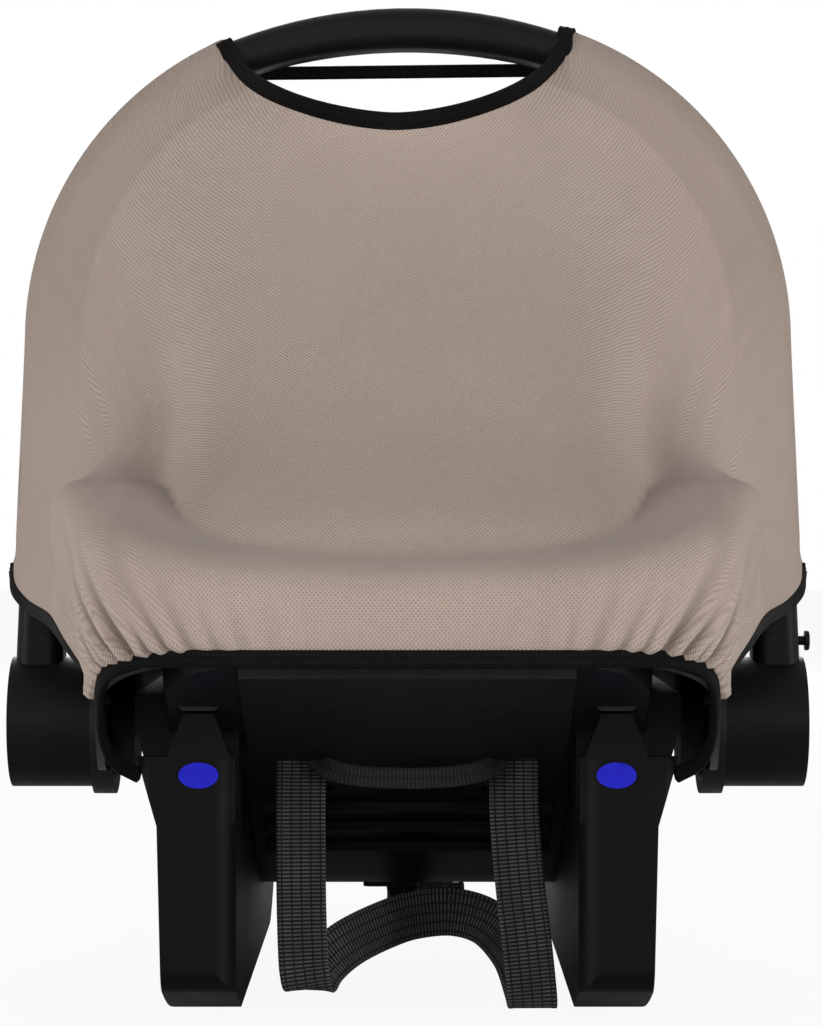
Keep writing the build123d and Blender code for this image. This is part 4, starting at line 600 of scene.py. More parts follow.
def rim_gap(points):
    """Distance of points outside the covered rim, and the way out."""
    x, y, z = points[..., 0], points[..., 1], points[..., 2]
    gap, flat = rim_plan(x, y)
    wing = bell(y, WING_Y, WING_SPREAD)
    crest = np.interp(y, crest_spots[:, 0], crest_spots[:, 1])
    tuck = np.clip(1 - (crest - TUCK_TOP - z) / TUCK_LENGTH, 0, 1)
    swell = SKIRT_CLEAR + (RIM_SWELL + WING_SWELL * wing) * tuck
    corner_lift = CORNER_LIFT * rise(np.abs(x), 0, CORNER_X) ** 2 * rise(-y, -CORNER_Y, CORNER_LENGTH)
    a = gap - swell + RIM_ROUND
    b = z - crest - RIM_PAD - corner_lift + RIM_ROUND
    pa, pb = np.maximum(a, 0), np.maximum(b, 0)
    both = np.maximum(np.hypot(pa, pb), 1e-6)
    distance = np.minimum(np.maximum(a, b), 0) + np.hypot(pa, pb) - RIM_ROUND
    inside = (a <= 0) & (b <= 0)
    share_a = np.where(inside, (a > b).astype(float), pa / both)
    share_b = np.where(inside, (a <= b).astype(float), pb / both)
    way = np.concatenate([flat * share_a[..., None], share_b[..., None]], axis=-1)
    return distance, way


def pushed_out(points):
    """Points that lie inside the covered rim moved out to its surface."""
    distance, way = rim_gap(points)
    return points - way * np.minimum(distance, 0)[..., None]


def canopy_back():
    """Grid of the sheet behind the handle, row by row from the handle to the hem."""
    left = arch_line(-1, -OPEN_LEFT)
    right = arch_line(1, OPEN_RIGHT)[::-1]
    top_line = np.vstack(
        [
            np.stack([left[:, 0], np.full(len(left), CREST_Y), left[:, 1]], axis=1),
            opening_line()[1:-1],
            np.stack([right[:, 0], np.full(len(right), CREST_Y), right[:, 1]], axis=1),
        ]
    )
    columns = 2 * COLUMNS - 1
    top = even(top_line, columns)
    half_hem = smooth_through(HEAD_HEM, 3)
    bottom_line = np.vstack([half_hem * (-1, 1, 1), half_hem[::-1][1:]])
    bottom = even(bottom_line, columns)
    edge = even(smooth_through(SIDE_HEM, 3), ROWS)
    edges = {-1: edge * (-1, 1, 1), 1: edge}
    u = np.linspace(0, 1, columns)[None, :, None]
    v = np.linspace(0, 1, ROWS)[:, None, None]
    grid = (
        (1 - v) * top[None]
        + v * bottom[None]
        + (1 - u) * edges[-1][:, None]
        + u * edges[1][:, None]
        - (1 - u) * (1 - v) * top[0]
        - u * (1 - v) * top[-1]
        - (1 - u) * v * bottom[0]
        - u * v * bottom[-1]
    )
    grid[0], grid[-1] = top, bottom
    grid[:, 0], grid[:, -1] = edges[-1], edges[1]
    for _ in range(SETTLING_ROUNDS):
        inner = grid[1:-1, 1:-1]
        mean = 0.25 * (grid[:-2, 1:-1] + grid[2:, 1:-1]) + 0.25 * (grid[1:-1, :-2] + grid[1:-1, 2:])
        grid[1:-1, 1:-1] = pushed_out(inner + SETTLING_STEP * (mean - inner))
    return hollowed(grid)


def hollowed(grid):
    """The sheet drawn in along the inner side of the rim, where nothing is under it."""
    inside = rim_plan(grid[..., 0], grid[..., 1])[0]
    above = grid[..., 2] - np.interp(grid[..., 1], crest_spots[:, 0], crest_spots[:, 1])
    near = HOLLOW_NEAR * bell(inside, -24, 15)
    wide = HOLLOW_WIDE * bell(inside, -34, 26) * rise(np.abs(grid[..., 0]), 60, 70)
    depth = (near + wide) * rise(-grid[..., 1], 30, 90) * rise(-above, -150, 90)
    rows = rise(np.arange(len(grid)), 0, 12)[:, None]
    sunk = grid - grid_normals(grid) * (depth * rows)[..., None]
    sunk[1:-1, 1:-1] = pushed_out(sunk[1:-1, 1:-1])
    return sunk


def finer(grid, axes):
    """The same grid with twice the lines along each named axis, on smooth curves."""
    for axis in axes:
        lines = np.moveaxis(grid, axis, 0)
        ahead = np.concatenate([2 * lines[:1] - lines[1:2], lines, 2 * lines[-1:] - lines[-2:-1]])
        middle = (9 * (lines[:-1] + lines[1:]) - ahead[:-3] - ahead[3:]) / 16
        woven = np.empty((2 * len(lines) - 1,) + lines.shape[1:])
        woven[0::2] = lines
        woven[1::2] = middle
        grid = np.moveaxis(woven, 0, axis)
    return grid


def grid_normals(grid):
    """Directions away from the seat."""
    return unit(np.cross(np.gradient(grid, axis=0), np.gradient(grid, axis=1)))


# Folds at each end of the head hem: distance from the corner, height, and how far up they reach
LONG_FOLDS = [(3, 2.0, 120), (9, 2.6, 125), (15.5, 2.4, 110), (22, 2.8, 95), (29, 3.2, 80)]
DEEP_FOLDS = [(36.5, 5.4, 66), (44.5, 7.2, 62), (53, 8.2, 64)]
DEEP_FOLDS += [(61.5, 8.4, 60), (70, 7.6, 54), (79, 6.0, 44)]
FADING_FOLDS = [(88.5, 3.6, 34), (99, 2.6, 28), (110.5, 1.9, 24), (123, 1.2, 20), (138, 0.7, 18)]


def gathered(grid):
    """The sheet with the folds that the elastic draws up, and the shade between them."""
    normals = grid_normals(grid)
    hem = grid[-1]
    middle = grid.shape[1] // 2
    along = np.abs(distance_along(hem) - distance_along(hem)[middle])
    from_corner = along.max() - along
    steps = np.linalg.norm(np.diff(grid, axis=0), axis=-1)
    up = np.concatenate([np.cumsum(steps[::-1], axis=0)[::-1], np.zeros((1, grid.shape[1]))])
    rng = np.random.default_rng(7)
    lift = np.zeros(grid.shape[:2])
    for side in (-1, 1):
        this = (np.arange(grid.shape[1]) < middle) if side < 0 else (np.arange(grid.shape[1]) >= middle)
        for place, depth, length in LONG_FOLDS + DEEP_FOLDS + FADING_FOLDS:
            place = place + rng.uniform(-1.2, 1.2)
            width = 1.9 + 0.016 * place + rng.uniform(-0.15, 0.35)
            length = length * rng.uniform(0.8, 1.25)
            depth = depth * rng.uniform(0.75, 1.15)
            lean = rng.uniform(-0.02, 0.1)
            fold = bell(from_corner[None], place + lean * up, width + 0.045 * up)
            fade = np.exp(-((up / length) ** 1.4)) * np.clip(up / 7.0, 0.12, 1)
            lift += np.where(this[None], depth * fold * fade, 0)
    spread = np.mean([np.roll(lift, k, axis=1) for k in range(-5, 6)], axis=0)
    return grid + normals * lift[..., None], np.clip((spread - lift) / 1.2, 0, 1)


back = finer(canopy_back(), (0, 1, 1))
# Rows lie closest near the rim and the hem, where the sheet bends most
close_rows = list(range(0, 60, 3)) + list(range(60, 100, 2)) + list(range(100, len(back)))
back, fold_shades = gathered(back[close_rows])
back_rows, back_columns = back.shape[:2]

# The sheet's front wrap on both arms, from the crest over the handle to the flap's edge
FLAP_EDGE = [(196, 226), (188, 290), (172, 360), (128, 432), (86, 502)]
FRONT_Y = 17.6
# Places along Y and how far in towards the bar, from the crest round to the bar's front face
OVER_BAR = [(-13, 0), (-9, -0.9), (-4, -1.2), (2, -1.2), (8, -1.0), (12.5, 0), (15.8, 2.2), (17.4, 6.0)]


def wrap_grid(side, crest):
    """Rows from the crest line over the handle and down its front to the flap's edge."""
    flap_line = smooth_through([(x, FRONT_Y, z) for x, z in FLAP_EDGE], 3)
    flap = even(flap_line, len(crest)) * (side, 1, 1)
    inward = np.zeros_like(crest)
    above = crest[:, 2] > ARCH_Z
    towards = unit(np.stack([side * ARCH_X - crest[:, 0], ARCH_Z - crest[:, 2]], axis=1))
    inward[:, 0] = np.where(above, towards[:, 0], -side)
    inward[:, 2] = np.where(above, towards[:, 1], 0)
    rows = []
    for y, drop in OVER_BAR:
        line = crest + inward * drop
        line[:, 1] = y
        rows.append(line)
    start = rows[-1]
    for share in np.linspace(0, 1, 9)[1:]:
        rows.append(start + (flap - start) * share)
    return np.array(rows)


ends = [int(np.argmin(np.linalg.norm(back[0] - spot, axis=1))) for spot in opening_line()[[0, -1]]]
left_wrap = wrap_grid(-1, back[0, : ends[0] + 1])
right_wrap = wrap_grid(1, back[0, ends[1] :][::-1])


def grid_faces(rows, columns, start, turned):
    faces = []
    for j in range(rows - 1):
        for i in range(columns - 1):
            a = start + j * columns + i
            face = (a, a + columns, a + columns + 1, a + 1)
            faces.append(face[::-1] if turned else face)
    return faces


def canopy_sheet():
    """The back of the sheet and both wraps as one mesh, with the folds' shade as an attribute."""
    points, weave, faces = [], [], []
    middle = back_columns // 2
    steps = np.linalg.norm(np.diff(back, axis=0), axis=-1)
    up = np.concatenate([np.cumsum(steps[::-1], axis=0)[::-1], np.zeros((1, back_columns))])
    for j in range(back_rows):
        along = distance_along(back[j])
        along = along - along[middle]
        points.extend(back[j])
        weave.extend(np.stack([along, up[j]], axis=1))
    faces.extend(grid_faces(back_rows, back_columns, 0, False))
    top_along = distance_along(back[0])
    top_along = top_along - top_along[middle]
    left_order, right_order = slice(0, ends[0] + 1), slice(ends[1], None)
    for wrap, turned, order in ((left_wrap, True, left_order), (right_wrap, False, right_order)):
        start = len(points)
        along = top_along[order] if turned else top_along[order][::-1]
        height = up[0, order] if turned else up[0, order][::-1]
        for row in wrap:
            points.extend(row)
        drop = distance_along(wrap[:, 0])
        for j in range(len(wrap)):
            weave.extend(np.stack([along, height + drop[j]], axis=1))
        faces.extend(grid_faces(len(wrap), wrap.shape[1], start, turned))
    piece = new_piece("canopy_sheet", points, faces, weave, KNIT)
    # Painted shade between the hem's folds, kept on the sheet's points for the knit
    shade = np.zeros(len(points))
    shade[: fold_shades.size] = fold_shades.ravel()
    piece.data.attributes.new("fold_shade", "FLOAT", "POINT").data.foreach_set("value", shade)
    outward(piece, merge=0.1)
    return piece


canopy = canopy_sheet()


RIDGE = 0.22
LEAST_LIFT = 0.25
UNDER_CLEAR = 0.05


def rounded_band(width, thick, inner, ridges):
    """Section of a bound edge: ridged on the outside, reaching an inner way over the cloth."""

    def bulge(share):
        return thick / 2 * math.sqrt(max(0.0, 1 - (2 * share - 1) ** 6))

    section = []
    for share in np.linspace(0, 1, 17):
        lift = bulge(share) + RIDGE * math.cos(ridges * TURN * share)
        section.append((width * share - inner, max(lift, LEAST_LIFT)))
    for share in np.linspace(1, 0, 9):
        section.append((width * share - inner, -bulge(share) - UNDER_CLEAR))
    return section


def edge_band(name, line, normals, section):
    """Binding along an edge of the sheet."""
    piece = swept(name, line, normals, section, BINDING)
    return piece


normals = grid_normals(back)
# The hand opening's edge runs up the left wrap, along the back of the sheet and down the right wrap
left_rise = left_wrap[::-1, -1]
right_fall = right_wrap[:, -1]
opening = np.vstack([left_rise[:-1], back[0, ends[0] : ends[1] + 1], right_fall[1:]])


BAR_DROP = 8.0  # the bar's middle line, below its covered top and nearer the middle of the seat
BAR_SHARE = 0.92


def outward_of_handle(line):
    """Directions away from the handle bar's middle line."""
    middle = np.stack([line[:, 0] * BAR_SHARE, np.zeros(len(line)), line[:, 2] - BAR_DROP], axis=1)
    return unit(line - middle)


opening_out = np.vstack(
    [
        outward_of_handle(left_rise[:-1]),
        normals[0, ends[0] : ends[1] + 1],
        outward_of_handle(right_fall[1:]),
    ]
)
for _ in range(8):
    opening_out[1:-1] = unit(opening_out[:-2] + opening_out[1:-1] + opening_out[2:])
opening_binding = edge_band("opening_binding", opening, opening_out, rounded_band(10.0, 3.6, 3.5, 2))

side_hems = []
for name, column in (("left_side_hem", 0), ("right_side_hem", -1)):
    line = even(np.hstack([back[:, column], normals[:, column]]), 150)
    side_hems.append(edge_band(name, line[:, :3], unit(line[:, 3:]), rounded_band(7.0, 2.8, 3.5, 2)))

# The head hem's elastic runs on past both corners, down to the shell's side
LOOP_DOWN = [
    (146, -278, 172.5),
    (147.5, -265, 160.5),
    (147, -252, 147),
    (142.5, -241, 135.5),
    (131.5, -232, 128),
]
HEAD_STRAIGHT = 76.0  # half of the head hem's straight stretch
HEAD_HEM_Z = 188.5
HEAD_CURVE = [(-108, -317.5), (-76, -326), (0, -327.6), (76, -326), (108, -317.5)]
head_half = [(129.5, -305, 186.8), (141.5, -291, 180.5)] + LOOP_DOWN
head_middle = [(x, y, HEAD_HEM_Z) for x, y in HEAD_CURVE]
head_line = np.vstack([np.array(head_half[::-1]) * (-1, 1, 1), head_middle, head_half])
head_line = even(smooth_through(head_line, 2), 460)
head_out = np.stack([head_line[:, 0], head_line[:, 1] - CORNER_MIDDLE_Y, np.zeros(len(head_line))], axis=1)
head_out[:, 0] = np.sign(head_out[:, 0]) * np.maximum(np.abs(head_out[:, 0]) - HEAD_STRAIGHT, 0)
head_out = unit(head_out + (0, -1e-3, 0))
head_hem = edge_band("head_hem", head_line, head_out, rounded_band(8.6, 4.2, 4.3, 3))

flap_left = left_wrap[-1]
flap_right = right_wrap[-1][::-1]
arm_left = left_wrap[:, 0][1:]
arm_right = right_wrap[:, 0][1:]
tape = np.linspace(flap_left[-1] + (0, 0, 1), flap_right[0] + (0, 0, 3), 40)
front_line = even(np.vstack([flap_left, tape[1:-1], flap_right]), 300)
forwards = np.tile((0.0, 1.0, 0.0), (len(front_line), 1))
front_binding = edge_band("front_binding", front_line, forwards, rounded_band(7.5, 2.4, 3.75, 2))
ARM_MIDDLE = 205.0
arm_hems = []
for name, line, side in (("left_arm_hem", arm_left, -1), ("right_arm_hem", arm_right, 1)):
    line = even(smooth_through(np.vstack([back[0, 0 if side < 0 else -1], line]), 2), 40)
    away = unit(np.stack([line[:, 0] - side * ARM_MIDDLE, line[:, 1], np.zeros(len(line))], axis=1))
    arm_hems.append(edge_band(name, line, away, rounded_band(7.0, 2.6, 3.5, 2)))

select_only(canopy)
apply_modifier(canopy, "cloth", "SOLIDIFY", thickness=CLOTH_THICK * MM, offset=0.0)


def sheet_area(grids):
    """Area of the cloth in square metres."""
    total = 0.0
    for grid in grids:
        a, b, c, d = grid[:-1, :-1], grid[1:, :-1], grid[1:, 1:], grid[:-1, 1:]
        total += np.linalg.norm(np.cross(b - a, d - a), axis=-1).sum() / 2
        total += np.linalg.norm(np.cross(b - c, d - c), axis=-1).sum() / 2
    return total * MM * MM


canopy_area = sheet_area([back, left_wrap, right_wrap])
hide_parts("canopy")
bands = [opening_binding, head_hem, front_binding] + side_hems + arm_hems
for piece in [canopy] + bands:
    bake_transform(piece)


# Webbing, as stations of a place and the way that its face looks
HEADWARD = (0, -1, 0)
FOOTWARD = (0, 1, 0)
OFF_BACK = (0, 0.37, 0.93)  # square to the seat's back
ALONG_BACK = (0, -0.93, 0.37)
OFF_LEGS = (0, -0.42, 0.91)  # square to the rest for the legs
ALONG_LEGS = (0, -0.91, -0.42)
REAR_LOOP = [
    ((-54, -163.5, 136.6), ALONG_BACK),
    ((-54, -167.2, 127.3), ALONG_BACK),
    ((-54, -176, 104), HEADWARD),
    ((-53.5, -184, 64), HEADWARD),
    ((-52.5, -188, 34), HEADWARD),
    ((-51.5, -189, 24), (0, -1, -0.1)),
    ((-50.5, -187, 18.5), (0, -0.7, -0.7)),
    ((-49, -183, 16.5), (0, 0, -1)),
    ((-47.5, -179, 18.5), (0, 0.7, -0.7)),
    ((-43, -174, 27), FOOTWARD),
    ((-30, -162, 37), FOOTWARD),
    ((-10, -142, 44.5), FOOTWARD),
    ((6, -128, 47.5), FOOTWARD),
    ((25, -123, 48), FOOTWARD),
    ((42, -131, 43), FOOTWARD),
    ((55, -149, 30), FOOTWARD),
    ((61, -166, 15), FOOTWARD),
    ((62.5, -172, 8.5), (0, 0.7, -0.7)),
    ((63, -177, 6.5), (0, 0, -1)),
    ((63, -181.5, 8.5), (0, -0.7, -0.7)),
    ((62.5, -184, 16), (0, -1, -0.1)),
    ((60, -185, 40), HEADWARD),
    ((56.5, -182, 70), HEADWARD),
    ((54, -175, 104), HEADWARD),
    ((54, -167.2, 127.3), ALONG_BACK),
    ((54, -163.5, 136.6), ALONG_BACK),
]
SHOULDER_RUN = [
    ((15.4, 23, 125), OFF_BACK),
    ((15.4, 9.1, 133), OFF_BACK),
    ((23.5, -32, 131.1), OFF_BACK),
    ((26, -42, 135.1), OFF_BACK),
    ((37.5, -88, 153.7), OFF_BACK),
    ((49, -134, 172.3), OFF_BACK),
    ((52, -147, 176.6), (0, -0.15, 0.99)),
    ((53.5, -153, 173.1), (0, -0.8, 0.6)),
    ((54, -154.9, 157.9), ALONG_BACK),
    ((54, -163.5, 136.6), ALONG_BACK),
]
PULL_STRAP = [
    ((0, 265, 136.8), OFF_LEGS),
    ((0, 248.7, 129.2), OFF_LEGS),
    ((0, 241.6, 125.6), OFF_LEGS),
    ((0, 239.7, 113.1), OFF_LEGS),
    ((0, 235, 106.5), OFF_LEGS),
    ((0, 205.3, 92.7), OFF_LEGS),
    ((0, 204.8, 92.1), (0, -0.94, 0.34)),
    ((0, 204.8, 91.2), ALONG_LEGS),
    ((0, 203.4, 86.2), ALONG_LEGS),
    ((0, 206.4, 79.8), ALONG_LEGS),
    ((0, 206.3, 75.4), (0, -0.9, 0.4)),
    ((0, 201.7, 71), OFF_LEGS),
    ((0, 166.5, 54.6), OFF_LEGS),
    ((0, 118, 29), (0, -0.3, 0.95)),
    ((0, 70, 27), (0, 0, 1)),
    ((4, 20, 30), (0, 0, 1)),
    ((11, -40, 37), (0, 0, 1)),
    ((15.5, -78, 46), (0, 0.2, 0.97)),
    ((17, -100, 56), (0, 0.4, 0.9)),
    ((17, -111, 61.5), (0, 0.3, 0.95)),
    ((17, -118, 61.5), (0, -0.4, 0.9)),
    ((17, -121.6, 57), (0, -1, 0.2)),
    ((17, -122, 48), HEADWARD),
    ((17, -122.2, 38), HEADWARD),
]
CROTCH_STRAP = [
    ((0, 92, 36.2), FOOTWARD),
    ((0, 92, 60), FOOTWARD),
    ((0, 92, 79), FOOTWARD),
    ((0, 90, 87), (0, 0.9, 0.4)),
    ((0, 87.8, 91), (0, 0.6, 0.8)),
    ((0, 79.2, 96), (0, 0.5, 0.87)),
]
HALF_TETHER = [
    ((47, -161, 148.6), (0, -1, 0.2)),
    ((47, -165.9, 137.5), HEADWARD),
    ((45.5, -171.5, 130.5), HEADWARD),
    ((38, -178, 126), HEADWARD),
    ((25, -180.5, 123.5), HEADWARD),
    ((10, -181.5, 122.5), HEADWARD),
]


def mirrored(stations):
    """The same stations on the left side."""
    return [((-x, y, z), way) for (x, y, z), way in stations]


def strap_section(width, thick):
    """Flat woven section with thick selvedges."""
    half, lift = width / 2, thick / 2
    flat = lift * 0.8
    top = [(-half, 0.0), (-half + 0.5, lift), (-half + 2.2, lift), (-half + 3.0, flat), (0.0, flat)]
    top += [(half - 3.0, flat), (half - 2.2, lift), (half - 0.5, lift), (half, 0.0)]
    return top + [(x, -y) for x, y in top[-2:0:-1]]


def strap(name, stations, width, thick, material):
    """Webbing laid through stations of a place and the way its face looks."""
    route = smooth_through([spot + way for spot, way in stations], 2.5)
    return swept(name, route[:, :3], unit(route[:, 3:]), strap_section(width, thick), material)


TETHER_WIDTH = 10.5
TETHER_THICK = 3.4
HARNESS = mirrored(SHOULDER_RUN) + REAR_LOOP[1:-1] + SHOULDER_RUN[::-1]
harness = strap("harness_straps", HARNESS, WEB_WIDTH, WEB_THICK, WEBBING)
pull = strap("pull_strap", PULL_STRAP, WEB_WIDTH, WEB_THICK, WEBBING)
crotch = strap("crotch_webbing", CROTCH_STRAP, WEB_WIDTH, WEB_THICK, WEBBING)
WHOLE_TETHER = HALF_TETHER + mirrored(HALF_TETHER)[::-1]
tether = strap("tether_strap", WHOLE_TETHER, TETHER_WIDTH, TETHER_THICK, TETHER)
for piece, node in (
    (harness, "harness_webbing"),
    (pull, "adjuster_strap"),
    (crotch, "crotch_strap"),
    (tether, "pad_tether"),
):
    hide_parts(node)
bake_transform(harness)
for piece in (pull, crotch, tether):
    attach(piece, "shell")


# Padded pieces
PRESS_NEAR = 17.0  # cushions stay down this close to a strap, and are free a little farther off
PRESS_FADE = 18.0
SOFT_ROUNDS = 4
FILL_PRESSURE = 4.0
FILL_FRAMES = 20
right_run = smooth_through([spot for spot, _ in SHOULDER_RUN], 6)
left_run = smooth_through([spot for spot, _ in mirrored(SHOULDER_RUN)], 6)
under_buckle = [(x, y, 96.0 + 0.37 * (79 - y)) for x in (-14.0, 0.0, 14.0) for y in range(0, 90, 10)]
pressed_spots = np.vstack([right_run, left_run, under_buckle])


def facing(piece):
    """Direction of the surface at each point."""
    flat = np.zeros(len(piece.data.vertices) * 3)
    piece.data.vertex_normals.foreach_get("vector", flat)
    return flat.reshape(-1, 3)


def softened(node, name, voxel, material, thicken=None):
    """Even mesh grown from the node's solid, its edges rounded off."""
    piece = node_copy(node, name)
    piece.data.materials.clear()
    piece.data.materials.append(material)
    if thicken is not None:
        move_points(piece, thicken(points_of(piece.data)))
    shape = placed(name + "_shape", piece.data.copy())
    apply_modifier(piece, "voxels", "REMESH", mode="VOXEL", voxel_size=voxel * MM)
    apply_modifier(piece, "level", "SMOOTH", factor=0.5, iterations=SOFT_ROUNDS)
    apply_modifier(piece, "fit", "SHRINKWRAP", target=shape)
    apply_modifier(piece, "soften", "SMOOTH", factor=0.5, iterations=SOFT_ROUNDS)
    bpy.data.objects.remove(shape)
    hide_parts(node)
    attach(piece, "shell")
    return piece


def blown(piece, cap, up, strapped):
    """The cover blown up as cloth, held down where it lies on the seat and where the straps press on it."""
    before = points_of(piece.data)
    normals = facing(piece)
    cloth = piece.modifiers.new("filling", "CLOTH")
    cloth.settings.quality = 5
    cloth.settings.mass = 0.3
    cloth.settings.use_pressure = True
    cloth.settings.uniform_pressure_force = FILL_PRESSURE
    cloth.settings.effector_weights.gravity = 0.0
    cloth.point_cache.frame_start = 1
    cloth.point_cache.frame_end = FILL_FRAMES
    for number in range(1, FILL_FRAMES + 1):
        bpy.context.scene.frame_set(number)
    after = points_of(piece.evaluated_get(bpy.context.evaluated_depsgraph_get()).to_mesh())
    piece.modifiers.remove(cloth)
    bpy.context.scene.frame_set(1)
    move = after - before
    length = np.linalg.norm(move, axis=1, keepdims=True)
    move = move * np.minimum(1.0, cap / np.maximum(length, 1e-9))
    free = np.clip(0.3 + normals @ unit(np.array(up, dtype=float)), 0, 1)
    if strapped:
        reach = np.min(np.linalg.norm(before[:, None] - pressed_spots[None], axis=2), axis=1)
        free = free * rise(reach, PRESS_NEAR, PRESS_FADE)
    move_points(piece, before + move * free[:, None])


def padding(node, name, voxel, cap, material, up, strapped):
    """A cushion or pad that swells by the cap at most, towards the way it faces."""
    piece = softened(node, name, voxel, material)
    blown(piece, cap, up, strapped)
    apply_modifier(piece, "settle", "SMOOTH", factor=0.5, iterations=3)
    apply_modifier(piece, "finer", "SUBSURF", levels=1, render_levels=1)
    bpy.ops.object.shade_smooth()
    return piece


SLICE = 8.0
NOTCH_REACH = 40.0
NOTCH_DEPTH = 22.0


def rim_height(points):
    """Top of the liner's rim cover along the seat, as places and heights, with the notches left out."""
    best = {}
    for _, y, z in points:
        key = int(y // SLICE)
        if key not in best or z > best[key][1]:
            best[key] = (y, z)
    spots = np.array(sorted(best.values()))
    near = np.array([spots[np.abs(spots[:, 0] - y) < NOTCH_REACH, 1].max() for y in spots[:, 0]])
    return spots[spots[:, 1] > near - NOTCH_DEPTH]


liner_top = rim_height(points_of(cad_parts["seat_liner"].data))
RIM_THICKEN = 3.0
CROWN = 3.4
CROWN_MIDDLE = 11.5  # distance of the crown's top from the rim's edge
CROWN_HALF = 12.5
CROWN_BASE = 0.9
FOOT_CROWN = 2.4
FOOT_START = 60.0


def under_rim_top(points):
    """Depth of points below the top of the rim cover."""
    return np.interp(points[:, 1], liner_top[:, 0], liner_top[:, 1]) - points[:, 2]


def thick_rim(points):
    """The rim cover thick enough for the voxels."""
    raised = points.copy()
    raised[:, 2] += RIM_THICKEN * (under_rim_top(points) < 0.6)
    return raised


liner = softened("seat_liner", "liner", 3.5, LINER, thick_rim)
points = points_of(liner.data)
depth = under_rim_top(points)
rim_inset = -rim_plan(points[:, 0], np.minimum(points[:, 1], FOOT_START))[0]
at_rim = (depth < 2.5) & (facing(liner)[:, 2] > 0.35)
crown = CROWN * np.clip(1 - ((rim_inset - CROWN_MIDDLE) / CROWN_HALF) ** 2, -0.3, 1)
crown = np.where(points[:, 1] > FOOT_START, FOOT_CROWN, crown)
points[:, 2] = np.where(at_rim, points[:, 2] + depth + CROWN_BASE + crown, points[:, 2])
move_points(liner, points)
apply_modifier(liner, "settle", "SMOOTH", factor=0.5, iterations=4)
bpy.ops.object.shade_smooth()

padding("body_cushion", "insert_cushion", 4.5, 8.0, INSERT, up=(0, 0.2, 1), strapped=True)
padding("head_pillow", "head_cushion", 4.0, 9.0, INSERT, up=OFF_BACK, strapped=True)
padding("left_shoulder_pad", "left_pad", 3.0, 4.0, PAD, up=OFF_BACK, strapped=False)
padding("right_shoulder_pad", "right_pad", 3.0, 4.0, PAD, up=OFF_BACK, strapped=False)
padding("crotch_pad", "buckle_pad", 2.0, 1.5, PAD, up=(0, 0.5, 0.87), strapped=False)


# Springs, each a copy of its CAD node's mesh, fixed to the shell
for node, joint, press, travel in (
    ("left_button_spring", "left_button_press", (1, 0, 0), 8.0),
    ("right_button_spring", "right_button_press", (-1, 0, 0), 8.0),
    ("buckle_spring", "buckle_press", (0, -0.5, -0.866025), 4.0),
    ("adjuster_spring", "adjuster_press", (0, 0.422618, -0.906308), 5.0),
):
    coil = node_copy(node, node + "_coil")
    spots = points_of(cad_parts[node].data)
    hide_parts(node)
    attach(coil, "shell")
    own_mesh(coil)


# Stage, lights and camera
FLOOR_GLOW = 0.93  # share of plain white that the camera sees in the floor
ROOM_LIGHT = 0.12


def paper_floor():
    """White paper that takes faint shadows."""
    floor_finish = Finish("floor_paper", Roughness=0.95, Specular_IOR_Level=0.1)
    fibre = floor_finish.noise(220.0, 3.0)
    paper = floor_finish.blend(fibre * 0.2, tone(0.93, 0.93, 0.93), tone(0.9, 0.9, 0.9))
    floor_finish.feed(Base_Color=paper)
    path = floor_finish.node("ShaderNodeLightPath", output="Is Camera Ray")
    glow = floor_finish.tree.nodes.new("ShaderNodeEmission")
    veil = floor_finish.tree.nodes.new("ShaderNodeMixShader")
    links = floor_finish.tree.links
    links.new((path * FLOOR_GLOW).socket, veil.inputs[0])
    links.new(floor_finish.shader.outputs[0], veil.inputs[1])
    links.new(glow.outputs[0], veil.inputs[2])
    links.new(veil.outputs[0], floor_finish.tree.nodes["Material Output"].inputs["Surface"])
    bpy.ops.object.select_all(action="DESELECT")
    bpy.ops.mesh.primitive_plane_add(size=14, location=(0, 2.5, 0))
    floor = bpy.context.object
    floor.name = "floor"
    floor.data.materials.append(floor_finish.material)


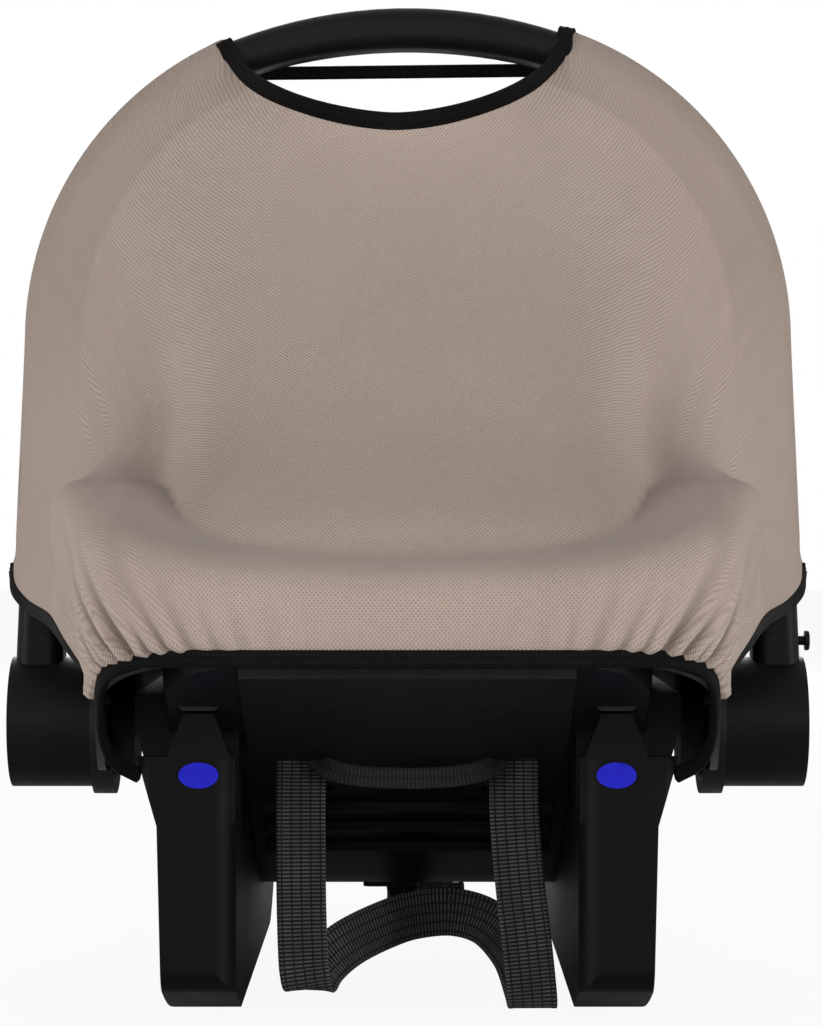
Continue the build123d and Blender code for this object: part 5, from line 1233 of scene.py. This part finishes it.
def white_air():
    """Plain white where the camera or a shiny face sees it, and dim light from all round."""
    world = bpy.data.worlds.new("studio_air")
    bpy.context.scene.world = world
    world.use_nodes = True
    tree = world.node_tree
    tree.nodes.clear()
    rays = tree.nodes.new("ShaderNodeLightPath")
    seen = rays.outputs["Is Camera Ray"]
    for kind in ("Is Transmission Ray", "Is Glossy Ray"):
        either = tree.nodes.new("ShaderNodeMath")
        either.operation = "MAXIMUM"
        tree.links.new(seen, either.inputs[0])
        tree.links.new(rays.outputs[kind], either.inputs[1])
        seen = either.outputs[0]
    mix = tree.nodes.new("ShaderNodeMixShader")
    tree.links.new(seen, mix.inputs[0])
    for socket, strength in ((1, ROOM_LIGHT), (2, 1.0)):
        light = tree.nodes.new("ShaderNodeBackground")
        light.inputs["Color"].default_value = (1, 1, 1, 1)
        light.inputs["Strength"].default_value = strength
        tree.links.new(light.outputs[0], mix.inputs[socket])
    out = tree.nodes.new("ShaderNodeOutputWorld")
    tree.links.new(mix.outputs[0], out.inputs[0])


def soft_boxes():
    """Lamps with their places, aims, sizes and powers."""
    for name, place, aim, size, power in (
        ("left_box", (-2.5, -1.8, 0.6), (0, -0.1, 0.26), 1.4, 62),
        ("right_box", (2.5, -1.8, 0.6), (0, -0.1, 0.26), 1.4, 64),
        ("front_box", (0.0, -3.3, 0.8), (0, -0.1, 0.3), 1.6, 15),
        ("top_box", (0.0, 0.3, 2.6), (0, -0.05, 0.3), 1.6, 4),
        ("far_box", (0.0, 3.4, 1.6), (0, 0.1, 0.2), 2.0, 46),
    ):
        lamp = bpy.data.lights.new(name, "AREA")
        lamp.energy = power
        lamp.size = size
        holder = placed(name, lamp)
        holder.location = place
        holder.rotation_euler = (Vector(aim) - Vector(place)).to_track_quat("-Z", "Y").to_euler()
        holder.visible_camera = False


def photo_camera():
    """Camera level with the middle of the seat, in front of its head end."""
    lens = bpy.data.cameras.new("photo_camera")
    lens.sensor_width = 36.0
    lens.lens = 119.7
    lens.clip_start = 0.05
    lens.clip_end = 60.0
    camera = placed("photo_camera", lens)
    camera.location = (0.0017, -1.9, 0.256)
    camera.rotation_euler = (math.pi / 2, 0, 0)
    bpy.context.scene.camera = camera


paper_floor()
white_air()
soft_boxes()
photo_camera()
bpy.context.scene.view_settings.view_transform = "Standard"
